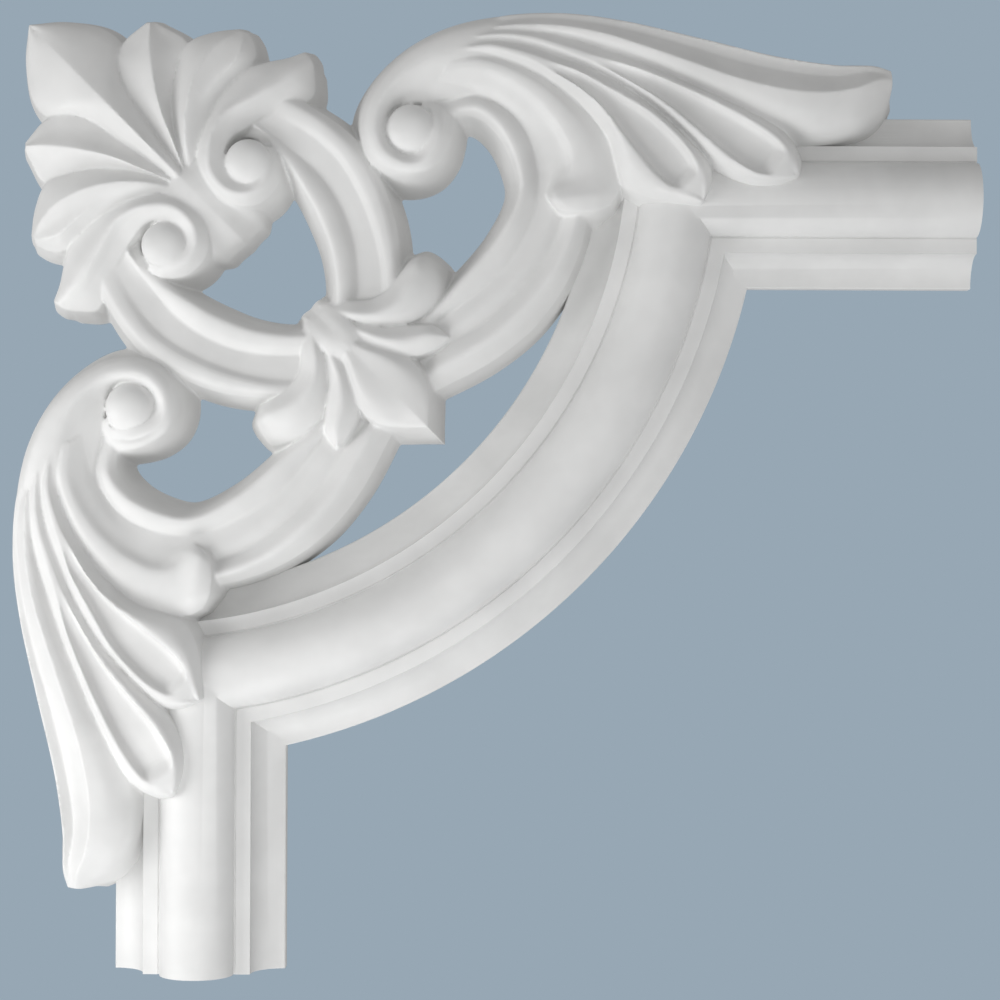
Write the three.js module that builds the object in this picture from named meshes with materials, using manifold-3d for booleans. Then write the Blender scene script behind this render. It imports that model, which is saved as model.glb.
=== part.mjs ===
// A wall moulding corner with an acanthus scroll, cast in one piece of hard foam.
//
// Frame: X to the right, Z up, the wall is the plane Y = 0 and the front looks along -Y.
// The origin is on the wall, where the outer edges of the two straight mouldings would cross.
//
// The casting has no undercuts: every form rises from the wall with walls that lean inwards.
// It is made in flat coordinates [across, down, out], in mm, and stood up at the end.
import * as THREE from 'three';
import Module from 'manifold-3d';
import { mergeVertices } from 'three/addons/utils/BufferGeometryUtils.js';

// Moulding run, in mm.
const RUN_LENGTH = 301; // from the outer corner to each square-cut end
const PROFILE_WIDTH = 60;
const EDGE_OUT = 6; // thickness of the moulding's thin edges
const FILLET_OUT = 17;
const FILLET_WIDTH = 5;
const TORUS_WIDTH = 25.8;
const TORUS_OUT = 28;
const QUIRK_WIDTH = 0.4; // the small groove at each foot of the torus
const QUIRK_DEPTH = 0.35;
const ARC_CENTRE = 12; // the curved run's centre lies this far in from both outer edges
const ARC_RADIUS = 185.6; // of the profile's middle line

// Ornament, in mm where not said otherwise.
const DRAWING_UNIT = 0.356; // mm for one unit of the drawing that the carving's points are read from
const DRAWING_MIDDLE = 500; // where the drawing is seen straight on, across and down, in units
const DRAWING_CORNER = 117.5; // the outer corner of the moulding's edges, in units
const DRAWING_TURN = THREE.MathUtils.degToRad(0.25); // the drawing is turned this far clockwise
const DRAWING_DISTANCE = 820; // the drawing is a view from this far in front of the wall
const DRAFT = 0.19; // how far a wall leans out for each mm that it drops
const EYE_FLARE = 1.15; // a volute's eye stands on a drum this much wider at the wall
const SPOON_DEPTH = 3; // how far the hollow of a leaf lobe lies under its rims
const SPOON_FLOOR = [0.25, 0.78]; // shares of the way between the rims where that hollow is full
const HOLLOW_OPENS = 0.25; // share of a lobe's length over which its hollow deepens
const HOLLOW_CLOSES = 0.1; // and over which it closes again
const FLANK_SWELLS = [[0.45, 1.2], [0.8, 1.2]]; // shares of the corner lobe's slope and how far they swell

// How finely the casting is faceted.
const ARC_STEPS = 18;
const COVE_STEPS = 3;
const TORUS_STEPS = 8;
const DOME_STEPS = 4;
const WELD = 1e-3; // points nearer than this, in mm, are one
const SLIVER = 0.45; // edges shorter than this, in mm, are closed up
const MOST_TURN = 0.5; // cosine of the most that closing one may turn a facet

// The size in mm of one unit of the drawing: what stands out from the wall is drawn larger.
const scaleAt = (out) => DRAWING_UNIT * (1 - out / DRAWING_DISTANCE);

const middle = (DRAWING_MIDDLE - DRAWING_CORNER) * scaleAt(EDGE_OUT);

// A point [x, y, out] of the drawing, across and down in units and out in mm, in the casting's mm.
function place([x, y, out]) {
  const flat = new THREE.Vector2(x - DRAWING_MIDDLE, y - DRAWING_MIDDLE);
  flat.rotateAround(new THREE.Vector2(), -DRAWING_TURN).multiplyScalar(scaleAt(out)).addScalar(middle);
  return new THREE.Vector3(flat.x, flat.y, out);
}

// A rail: a smooth curve through points of the drawing, as evenly spaced stations.
function rail(points, steps) {
  return new THREE.CatmullRomCurve3(points.map(place), false, 'centripetal').getSpacedPoints(steps);
}

// A rail that lies a share of the way from one rail to another, lifted by a height or by lift(along).
function between(from, to, share, lift = 0) {
  return from.map((point, i) => {
    const mixed = point.clone().lerp(to[i], share);
    mixed.z += typeof lift === 'function' ? lift(i / (from.length - 1)) : lift;
    return mixed;
  });
}

const smooth = (low, high, value) => THREE.MathUtils.smoothstep(value, low, high);

const wasm = await Module();
wasm.setup();

// A closed manifold solid from a triangle list, its faces turned outwards.
function solidOf(vertices, triangles) {
  const geometry = new THREE.BufferGeometry();
  const positions = vertices.flatMap((vertex) => vertex.toArray());
  geometry.setAttribute('position', new THREE.Float32BufferAttribute(positions, 3));
  geometry.setIndex(triangles.flat());
  return solidOfGeometry(geometry);
}

function solidOfGeometry(geometry) {
  geometry.deleteAttribute('normal');
  geometry.deleteAttribute('uv');
  const merged = mergeVertices(geometry, WELD);
  const at = merged.attributes.position;
  const corner = (i) => new THREE.Vector3().fromBufferAttribute(at, i);
  const index = merged.index.array;
  const kept = [];
  let volume = 0;
  for (let i = 0; i < index.length; i += 3) {
    const [a, b, c] = index.slice(i, i + 3);
    if (a === b || b === c || c === a) continue;
    kept.push([a, b, c]);
    volume += corner(a).dot(corner(b).cross(corner(c)));
  }
  const facing = volume < 0 ? kept.map(([a, b, c]) => [a, c, b]) : kept;
  return new wasm.Manifold(
    new wasm.Mesh({ numProp: 3, vertProperties: at.array, triVerts: new Uint32Array(facing.flat()) }),
  );
}

// Joins equal closed rings of points in order, with a fan from one point over each end.
function skin(rings, startPoint, endPoint) {
  const size = rings[0].length;
  const vertices = [...rings.flat(), startPoint, endPoint];
  const triangles = [];
  rings.slice(1).forEach((_, r) => {
    for (let i = 0; i < size; i++) {
      const next = (i + 1) % size;
      const [a, b, c, d] = [r * size + i, r * size + next, (r + 1) * size + next, (r + 1) * size + i];
      triangles.push([a, b, c], [a, c, d]);
    }
  });
  const last = (rings.length - 1) * size;
  const [start, end] = [rings.length * size, rings.length * size + 1];
  for (let i = 0; i < size; i++) {
    const next = (i + 1) % size;
    triangles.push([start, next, i], [end, last + i, last + next]);
  }
  return solidOf(vertices, triangles);
}

// The foot of a drafted wall below a rail's station, on the given side of the rail.
function foot(stations, i, side) {
  const before = stations[Math.max(i - 1, 0)];
  const after = stations[Math.min(i + 1, stations.length - 1)];
  const along = new THREE.Vector2(after.x - before.x, after.y - before.y).normalize();
  const reach = DRAFT * stations[i].z;
  const across = new THREE.Vector2(along.y, -along.x).multiplyScalar(side * reach);
  return new THREE.Vector3(stations[i].x + across.x, stations[i].y + across.y, 0);
}

// A form raised over rails that run side by side from its root to its tip: the first and last rails
// are its edges, from which drafted walls drop to the wall plane. Before the tip the wall leans out
// by reach times as much, the way that the rails end: the first (0), the last (1) or between.
function carve(rails, reach = 1, tipWay = 0.5) {
  const [first, last] = [rails[0], rails[rails.length - 1]];
  const end = first.length - 1;
  const widths = first.map((point, i) => point.distanceTo(last[i]));
  const widest = widths.indexOf(Math.max(...widths));
  const at = Math.min(Math.max(widest, 1), end - 1);
  const along = first[at + 1].clone().sub(first[at - 1]);
  const across = first[at].clone().sub(last[at]);
  const side = Math.sign(across.x * along.y - across.y * along.x);
  const crown = (i) => rails.map((stations) => stations[i]);
  const rings = first.map((_, i) => [foot(first, i, side), ...crown(i), foot(last, i, -side)]);
  const root = rings[0][0].clone().lerp(rings[0][rails.length + 1], 0.5);
  const tip = between(first, last, tipWay);
  const ahead = tip[end].clone().sub(tip[end - 1]).setZ(0).normalize();
  const toe = tip[end].clone().addScaledVector(ahead, reach * DRAFT * tip[end].z).setZ(0);
  return skin(rings, root, toe);
}

// Moulding: every line of the profile runs straight, turns on its own arc and runs straight again.

const halfWidth = PROFILE_WIDTH / 2;
const coveWidth = halfWidth - FILLET_WIDTH - QUIRK_WIDTH - TORUS_WIDTH / 2;
const quirkOut = FILLET_OUT - QUIRK_DEPTH;

// Half of the profile, from its outer edge to the crest, as [offset from the middle line, out].
function halfProfile() {
  const points = [
    [-halfWidth, 0],
    [-halfWidth, EDGE_OUT],
  ];
  for (let i = 1; i <= COVE_STEPS; i++) {
    const turn = (i / COVE_STEPS) * (Math.PI / 2);
    points.push([
      -halfWidth + coveWidth * Math.sin(turn),
      FILLET_OUT - (FILLET_OUT - EDGE_OUT) * Math.cos(turn),
    ]);
  }
  const filletEnd = -halfWidth + coveWidth + FILLET_WIDTH;
  points.push([filletEnd, FILLET_OUT], [filletEnd, quirkOut]);
  for (let i = 0; i <= TORUS_STEPS / 2; i++) {
    const turn = (i / TORUS_STEPS) * Math.PI;
    points.push([
      (-TORUS_WIDTH / 2) * Math.cos(turn),
      quirkOut + (TORUS_OUT - quirkOut) * Math.sin(turn),
    ]);
  }
  return points;
}

// The path of one line of the profile, as flat points: two straight ends and the arc between.
function profilePath(offset, out) {
  const radius = ARC_RADIUS + offset;
  const down = halfWidth + offset;
  const start = Math.asin((down - ARC_CENTRE) / radius);
  const path = [new THREE.Vector3(RUN_LENGTH, down, out)];
  for (let i = 0; i <= ARC_STEPS; i++) {
    const turn = THREE.MathUtils.lerp(start, Math.PI / 2 - start, i / ARC_STEPS);
    const [x, y] = [ARC_CENTRE + radius * Math.cos(turn), ARC_CENTRE + radius * Math.sin(turn)];
    path.push(new THREE.Vector3(x, y, out));
  }
  path.push(new THREE.Vector3(down, RUN_LENGTH, out));
  return path;
}

function mouldingRun() {
  const half = halfProfile();
  const profile = [...half, ...half.slice(0, -1).reverse().map(([offset, out]) => [-offset, out])];
  const paths = profile.map(([offset, out]) => profilePath(offset, out));
  const middle = profilePath(0, 0);
  const rings = middle.map((_, i) => paths.map((path) => path[i]));
  return skin(rings, middle[0], middle[middle.length - 1]);
}

// The domed eye of a volute, turned about its own axis: radius in drawing units, heights in mm.
function eye([x, y], { radius, rim, top, segments }) {
  const wide = radius * scaleAt(rim);
  const outline = [[0, 0], [wide * EYE_FLARE, 0], [wide, rim]].map((point) => new THREE.Vector2(...point));
  for (let i = 1; i <= DOME_STEPS; i++) {
    const turn = (i / DOME_STEPS) * (Math.PI / 2);
    const reach = i === DOME_STEPS ? 0 : wide * Math.cos(turn);
    outline.push(new THREE.Vector2(reach, rim + (top - rim) * Math.sin(turn)));
  }
  const centre = place([x, y, rim]);
  const geometry = new THREE.LatheGeometry(outline, segments).rotateX(Math.PI / 2);
  return solidOfGeometry(geometry.translate(centre.x, centre.y, 0));
}

// A rail on the casting's line of symmetry, through [distance along it, out] points.
function axisRail(points, steps) {
  return rail(points.map(([at, out]) => [at, at, out]), steps).map((point) => {
    const along = (point.x + point.y) / 2;
    return new THREE.Vector3(along, along, point.z);
  });
}

// Height by which a hollow lies under its rims: nothing at its root, full on the way, closed at its end.
const hollow = (from, to) => (along) =>
  -SPOON_DEPTH * smooth(from, from + HOLLOW_OPENS, along) * (1 - smooth(to, to + HOLLOW_CLOSES, along));

// A leaf lobe with a raised rim on both sides and a hollow between them.
function spoon({ edges, rims, from, to, steps }) {
  const [upper, lower] = edges.map((points) => rail(points, steps));
  const [rimA, rimB] = rims.map((points) => rail(points, steps));
  const floors = SPOON_FLOOR.map((share) => between(rimA, rimB, share, hollow(from, to)));
  return carve([upper, rimA, ...floors, rimB, lower]);
}

// A lobe whose rails are all given.
const lobe = (lines, steps = 9) => carve(lines.map((points) => rail(points, steps)));

// The acanthus leaf, from its outer lobe to the tongue over the scroll.
function leaf() {
  const outer = lobe(
    [
      [
        [446, 44, 19], [474, 26, 22.5], [500, 16.5, 24], [560, 13, 25], [620, 20, 26], [700, 38, 27],
        [780, 57, 28], [840, 65.5, 28], [874, 66, 26.5], [891, 71, 22],
      ],
      [
        [450, 46, 21], [478, 29, 23.5], [520, 18.5, 24.8], [580, 20.5, 25.6], [640, 32, 25.6],
        [728, 57.5, 26], [779, 69.5, 26.2], [830, 76.5, 26.3], [868, 72, 26], [892, 75, 22],
      ],
      [
        [454, 47, 22], [490, 28, 26.5], [550, 24.5, 28.3], [600, 32, 29.5], [640, 44, 30.8],
        [690, 61, 31.8], [740, 78, 32.7], [791, 89.5, 33.3], [830, 91.5, 33.3], [858, 87, 32],
        [880, 79, 27.5], [892.5, 79, 22.5],
      ],
      [
        [459, 49, 22], [505, 33, 26], [555, 34, 27], [600, 43, 28], [640, 56, 28.8], [716, 90, 30],
        [780, 116, 30.5], [812, 124, 29.5], [840, 121, 29], [866, 108, 26.5], [892, 88, 21],
      ],
      [
        [462, 50, 20], [520, 42, 23], [570, 45, 25], [640, 65, 26], [700, 92, 27], [750, 120, 26.5],
        [785, 141, 21], [830, 147, 14], [862, 138, 13], [881, 120, 14], [889.5, 100, 17],
      ],
    ],
    13,
  );
  const second = spoon({
    edges: [
      [
        [466, 33.5, 26.5], [500, 30, 26.8], [530, 30, 26.8], [560, 36, 26.8], [600, 49.5, 27],
        [640, 62, 27.2], [700, 88, 27.5], [740, 106.5, 28], [770, 122, 28], [787, 135.5, 28],
        [797, 150, 28], [801, 163, 28], [800, 174, 28],
      ],
      [
        [470, 43, 26.8], [500, 40.5, 26.8], [530, 46, 26.8], [565, 59, 26.8], [600, 73, 27],
        [640, 97.5, 27.5], [668, 120.5, 28], [690, 141, 28], [708, 160, 28], [722, 172, 28],
        [740, 181.5, 28], [760, 185.5, 28], [780, 184, 28], [797, 177.5, 28],
      ],
    ],
    rims: [
      [
        [467, 37, 28], [500, 33.5, 28.3], [530, 36, 28.8], [565, 46, 29.4], [600, 57, 30.3],
        [640, 69, 31.3], [702, 95.5, 32.7], [756, 124, 33.7], [778, 140, 34], [787, 150, 33.8],
        [790, 161, 33.1], [796, 173.5, 30.5],
      ],
      [
        [468, 38.5, 28], [500, 35.5, 28.3], [530, 39, 28.8], [565, 50.5, 29.4], [600, 65, 30.2],
        [640, 86.5, 31.3], [668, 104.5, 32], [695, 126.5, 33], [715, 144, 33.8], [735, 160, 34],
        [755, 171.5, 34], [770, 175, 33.6], [784, 175, 32.5], [796, 174.5, 30.5],
      ],
    ],
    from: 0.33,
    to: 0.85,
    steps: 14,
  });
  const third = spoon({
    edges: [
      [
        [442, 48, 26.8], [470, 43, 27], [500, 41, 27], [530, 46, 27], [565, 59, 27.2], [600, 73, 27.5],
        [640, 97, 28], [668, 120, 28.5], [690, 141, 28.7], [704, 157, 29], [711, 170, 29.2],
        [711, 184, 29.5], [704, 200, 30],
      ],
      [
        [446, 57, 26.8], [480, 54.5, 26.8], [500, 57.5, 26.6], [520, 64.5, 26.3], [540, 74, 26.2],
        [560, 86.5, 26.2], [580, 102, 26.2], [600, 123, 26.4], [611, 141, 26.7], [617, 162, 27],
        [625, 185, 27.6], [645, 197, 28.5], [670, 202, 29], [701, 204, 29.5],
      ],
    ],
    rims: [
      [
        [440, 52, 28.8], [470, 46, 29], [490, 44, 29.2], [510, 48, 29.6], [530, 53.5, 30],
        [553, 62, 30.6], [578, 71, 31], [600, 83, 31.5], [622, 95.5, 32], [651, 113, 32.8],
        [684, 144, 33.5], [696, 163, 33.6], [701, 180, 33], [704, 199, 31],
      ],
      [
        [441, 53.5, 28.8], [470, 48.5, 29], [490, 47.5, 29.2], [510, 52, 29.6], [530, 59, 30],
        [550, 69.5, 30.5], [580, 87.5, 31.2], [602, 106.5, 31.8], [617, 125, 32.3], [631, 144, 32.9],
        [646, 162.5, 33.3], [658, 176, 33.5], [671, 185.5, 33.3], [685, 190, 32.9], [695, 194.5, 32.2],
        [703, 200, 31],
      ],
    ],
    from: 0.3,
    to: 0.84,
    steps: 14,
  });
  const tongue = lobe(
    [
      [
        [424, 100, 22.5], [470, 94, 22.3], [500, 104, 22.1], [520, 122, 22], [532, 145, 22],
        [537, 168, 21.5], [540, 184, 20.5], [546, 197, 20], [554, 208, 20.5],
      ],
      [
        [442, 76, 27], [480, 75, 26.6], [500, 82, 26.1], [517, 92, 25.7], [533, 105, 25.3],
        [547, 121, 24.9], [558, 137, 24.6], [564, 152, 24.4], [565, 167, 24.3], [558, 181, 24.8],
        [554, 191, 27], [558, 200, 28.6], [565, 211, 27],
      ],
      [
        [446, 68, 28.2], [480, 66, 28.2], [503, 74, 27.9], [521, 84, 27.6], [539, 99, 27.4],
        [555, 117, 27.1], [565, 134, 27], [572, 150, 26.9], [573, 166, 26.9], [568, 180, 27],
        [562, 190, 28.2], [566, 199, 29], [573, 212, 27.2],
      ],
      [
        [448, 60, 28.5], [480, 59, 28.3], [505, 66, 28], [525, 75, 27.8], [543, 86, 27.7],
        [561, 103, 27.5], [575, 119, 27.3], [585, 136, 27.2], [590, 155, 27.1], [590, 172, 27.2],
        [586, 186, 28], [584, 197, 28.8], [586, 212, 27.2],
      ],
      [
        [452, 56, 26], [480, 55, 26], [500, 57.5, 26], [520, 64.5, 25.6], [540, 74, 25.2],
        [560, 86.5, 24.8], [580, 102, 24.6], [600, 123, 24.4], [612, 141, 24.3], [618, 160, 24.2],
        [620, 178, 24.2], [618, 192, 24.5], [611, 204, 24.5],
      ],
    ],
    12,
  );
  return [outer, second, third, tongue];
}

// The volute that the leaf unrolls from, its curl, its eye and the scroll band under the tongue.
function volute() {
  const curl = lobe(
    [
      [
        [453, 112, 19], [456, 124, 20], [453, 140, 21.5], [447, 155, 23], [434, 170, 24],
        [415, 177, 24.5], [392, 175, 24.5], [371, 161, 24.5], [361, 135, 24.5], [363, 107, 24.5],
        [381, 75.5, 25], [413, 45.5, 25], [452, 26.5, 24.5], [500, 16.5, 22.5], [545, 15, 19],
      ],
      [
        [450, 112, 20.5], [453, 124, 22.5], [450, 140, 24.5], [443, 155, 26], [432, 167, 27.5],
        [415, 172, 28], [393, 169, 28], [375, 156, 28], [366, 133, 28], [368, 108, 28],
        [384, 79, 28.3], [412, 52, 28.5], [450, 34, 28], [500, 24, 25.5], [545, 22, 20],
      ],
      [
        [447, 112, 21.5], [448, 124, 24], [445, 139, 26.5], [438, 152, 28], [428, 162, 29],
        [413, 165.5, 29.5], [396, 161, 29.5], [382, 149, 29.5], [374.5, 131, 29.5], [377, 108, 29.5],
        [393, 84, 29.5], [419, 64, 29.5], [450, 54, 29.2], [500, 50, 26.5], [545, 52, 21],
      ],
      [
        [440, 107, 23.5], [442, 118, 27], [442, 130, 28.7], [438.5, 141, 29.4], [432, 150, 29.6],
        [424, 156.5, 29.4], [412, 160, 29], [399.5, 157, 28.8], [388, 149, 28.7], [381, 134, 28.7],
        [382.5, 113, 28.3], [397, 92, 27.3], [420, 79, 27], [448, 72, 27], [490, 74, 25],
        [535, 84, 20],
      ],
      [
        [433, 108, 25], [434, 120, 28], [432.5, 130, 29], [429.5, 139, 29.2], [425.5, 146, 28.9],
        [420, 151.5, 28], [411, 154.5, 26.4], [401, 152.5, 26], [391.5, 146, 26], [386, 135, 26],
        [385.5, 122, 25.8], [389.5, 111.5, 25], [400, 104, 24], [422, 102, 23.5], [445, 99, 23.3],
        [475, 93, 23], [510, 97, 20],
      ],
    ],
    23,
  );
  const scroll = lobe(
    [
      [
        [430, 126, 20], [446, 119, 20.5], [474, 117, 20.5], [496, 134, 20.5], [512, 165, 20.5],
        [516, 192, 20.5], [495, 236, 20.5], [455, 283, 20.5], [428, 311, 20], [407, 330, 18.5],
      ],
      [
        [430, 118, 21], [448, 112, 22], [476, 108, 24], [500, 126, 24.4], [517, 160, 24.4],
        [521, 191, 24.4], [500, 235, 24.4], [459, 284, 24], [434, 312, 23], [413, 333, 20],
      ],
      [
        [430, 110, 21.5], [448, 104, 22], [478, 101, 23.5], [507, 118, 23.6], [526, 149, 23.6],
        [530, 191, 23.6], [510, 240, 23.5], [470, 288, 23.3], [441, 316, 22.3], [420, 336, 20],
      ],
      [
        [430, 104, 21.5], [448, 98, 21.5], [474, 94, 21.4], [500, 104, 21.4], [520, 122, 21.3],
        [533, 146, 21.3], [538, 170, 21.3], [536, 203, 21.2], [526, 229, 21.2], [506, 264, 21.2],
        [484, 287, 21.2], [462, 304, 21.2], [442, 319, 20.7], [423, 339, 19],
      ],
      [
        [452, 96, 21.5], [470, 88, 21.8], [505, 90, 22], [537, 110, 22.2], [553, 145, 22.2],
        [554, 200, 22.2], [540, 246, 22.2], [510, 284, 22.2], [480, 308, 22.2], [449, 331, 22],
        [424, 352, 20],
      ],
      [
        [454, 92, 21.5], [473, 83, 21.5], [511, 84, 21.3], [545, 106, 21.3], [565, 145, 21.3],
        [566, 200, 21.2], [554, 242, 21.2], [525, 283, 21.2], [486, 321, 21.2], [452, 342, 21],
        [422, 366, 19],
      ],
      [
        [456, 90, 21.5], [475, 80, 22], [514, 82, 23], [550, 104, 24], [573, 143, 24.4],
        [578, 212, 24.4], [566, 251, 24.4], [548, 282, 24.4], [525, 309, 24.4], [497, 334, 24.4],
        [462, 356, 24], [434, 371, 23.5], [414, 383, 20],
      ],
      [
        [460, 84, 20], [478, 72, 20], [516, 76, 20], [556, 99, 19.5], [581, 142, 19], [588, 213, 18.5],
        [570, 276, 18], [537, 325, 18], [493, 361, 18], [444, 387, 18], [420, 399, 16],
      ],
    ],
    16,
  );
  return [curl, eye([411, 129], { radius: 24.5, rim: 26, top: 31, segments: 16 }), scroll];
}

// Half of the ring around the central opening.
function ring() {
  return [
    lobe(
      [
        [
          [250, 134, 18.5], [262, 141, 19.5], [283, 163, 19.5], [301, 189, 20.5], [316, 219, 20.5],
          [328, 251, 20.5], [333, 287, 20.5], [328, 322, 20.5],
        ],
        [
          [249, 129, 19], [263, 135, 20.8], [287, 160, 22.2], [302, 184, 23.8], [319, 214, 24.2],
          [333, 252, 24.2], [338, 290, 24.2], [337, 325, 23.5],
        ],
        [
          [245, 123, 18.5], [258, 128, 20.5], [293, 156, 21.8], [316, 182, 23.2], [336, 218, 23.6],
          [346, 252, 23.6], [348, 291, 23.6], [346, 325, 22.5],
        ],
        [
          [241, 119, 17.5], [253, 123, 19.5], [288, 147, 20.7], [322, 178, 21.2], [344, 213, 21.3],
          [355, 250, 21.3], [357, 292, 21.3], [354, 325, 21],
        ],
        [
          [240, 106, 15], [254, 107, 18], [297, 127, 21], [333, 155, 22.2], [358, 194, 22.4],
          [377, 245, 22.4], [382, 290, 22.4], [374, 330, 22],
        ],
        [
          [248, 92, 15], [262, 93, 18], [301, 109, 21.8], [335, 132, 23.8], [366, 166, 24.2],
          [385, 211, 24.2], [394, 262, 24.2], [393, 295, 24.2], [386, 332, 24],
        ],
        [
          [256, 78, 12], [268, 82, 15], [302, 101, 19], [337, 123, 21], [366, 151, 21], [385, 189, 21],
          [397, 228, 21], [400, 281, 21], [393, 333, 21],
        ],
      ],
      13,
    ),
  ];
}

// Half of the corner palmette: the middle lobe, three side lobes, the last one curled round an eye,
// and the heart.
function cornerPalmette() {
  const steps = 12;
  const spine = axisRail([[184, 23], [172, 26], [150, 28], [110, 26.5], [70, 22], [27, 15]], steps);
  const flank = rail(
    [
      [186, 176, 22], [166, 150, 22.5], [143, 115, 19.6], [123, 83, 17.2], [118, 60, 16],
      [121, 43, 13.8], [104, 29, 13], [66, 22, 13], [29, 25, 14.5],
    ],
    steps,
  );
  const slopes = FLANK_SWELLS.map(([share, swell]) => between(spine, flank, share, swell));
  const first = lobe([
    [
      [184, 174, 22], [166, 150, 22.5], [143, 115, 20.5], [124, 83, 18.5], [119, 60, 17],
      [124, 42, 15], [147, 22, 15],
    ],
    [[186, 174, 23], [175, 146, 26.3], [160, 108, 26], [152, 70, 23], [149, 42, 19.5], [150, 22, 16.5]],
    [
      [188, 174, 22], [177, 150, 22.5], [172, 118, 20.5], [172, 86, 18.5], [178, 59, 17],
      [187, 42, 15], [154, 21.5, 15],
    ],
  ]);
  const second = lobe([
    [
      [188, 174, 22], [178, 150, 22.5], [173, 118, 21], [174, 86, 19], [181, 58, 17.5], [189, 42, 16],
      [215, 32, 15], [240, 29, 15.5],
    ],
    [
      [190, 173, 23], [184, 132, 26.8], [187, 100, 26.8], [195, 74, 25], [210, 50, 22.5],
      [226, 37, 20], [240, 30.5, 17],
    ],
    [
      [191, 173, 23], [188, 132, 26.3], [195, 100, 25.9], [207, 76, 24], [224, 54, 21.8],
      [235, 40, 19.8], [242, 31, 17],
    ],
    [
      [192, 173, 23], [193, 132, 25.3], [203, 102, 24.4], [219, 78, 23.7], [238, 56, 22.6],
      [243, 42, 20.5], [244, 32, 17.5],
    ],
    [
      [194, 173, 22], [199, 150, 22.8], [206, 126, 22], [217, 103, 20.5], [232, 84, 19],
      [248, 68, 17.5], [256, 58, 16], [254, 43, 15.5], [248, 33, 16],
    ],
  ]);
  const third = lobe(
    [
      [
        [279, 148, 18], [281, 164, 21], [279, 182, 22], [268, 198, 23], [252, 206, 23.5],
        [236, 205, 24], [219, 198, 24], [205, 184, 24.2], [198, 167, 24], [198, 148, 23.5],
        [203, 128, 22.7], [216, 104, 21], [232, 84, 19.5], [250, 68, 18], [268, 62, 17],
        [288, 58, 16.5], [305, 52, 16],
      ],
      [
        [273, 147, 21], [274, 160, 24.5], [271, 174, 26], [262, 186, 27], [246, 193, 27.7],
        [229, 191, 27.9], [215, 180, 27.9], [207.5, 165, 27.9], [207, 148, 27.9], [212, 129, 27.4],
        [225, 111, 26.3], [250, 97, 25], [275, 83, 23.5], [294, 68, 21], [308, 55, 17],
      ],
      [
        [266, 146, 22], [269, 160, 25.8], [266, 172, 26.9], [258, 183, 27.2], [246, 188.5, 27.1],
        [233, 186.5, 27], [221.5, 177, 27], [214.5, 163, 27], [214, 148, 27], [218, 132, 26.3],
        [232, 118, 24.6], [256, 108, 22.5], [279, 95, 21.5], [299, 82, 20], [313, 63, 17],
      ],
      [
        [259, 146, 22.5], [263, 160, 26], [260, 171, 26.6], [253, 179, 26.2], [244, 182.5, 25.5],
        [235, 180, 25.3], [227.5, 171, 25.3], [223.5, 160, 25.3], [223, 149, 25], [227, 139, 24.2],
        [238, 131, 22.6], [256, 121, 20.6], [280, 108, 19.5], [302, 103, 18.5], [314, 96, 17],
        [315, 72, 16],
      ],
    ],
    20,
  );
  const heart = carve([
    axisRail(
      [
        [170, 22], [179, 25.3], [190, 26], [202, 25.3], [216, 23.8], [230, 20.8], [240, 16.5],
        [246, 11],
      ],
      7,
    ),
    rail(
      [
        [183, 161, 21.5], [193, 171, 24.8], [204, 182, 25.3], [216, 194, 24.5], [231, 207, 22.4],
        [243, 217, 19], [252, 224, 15.5], [257, 233, 11],
      ],
      7,
    ),
    rail(
      [
        [197, 151, 20], [208, 161, 21.5], [228, 177, 21.8], [248, 190, 20.2], [260, 201, 17],
        [266, 208, 13], [268, 214, 9],
      ],
      7,
    ),
  ]);
  return [
    carve([spine, ...slopes, flank], 1, 0),
    first,
    second,
    third,
    heart,
    eye([248, 161.5], { radius: 22.5, rim: 25, top: 28.9, segments: 14 }),
  ];
}

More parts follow.
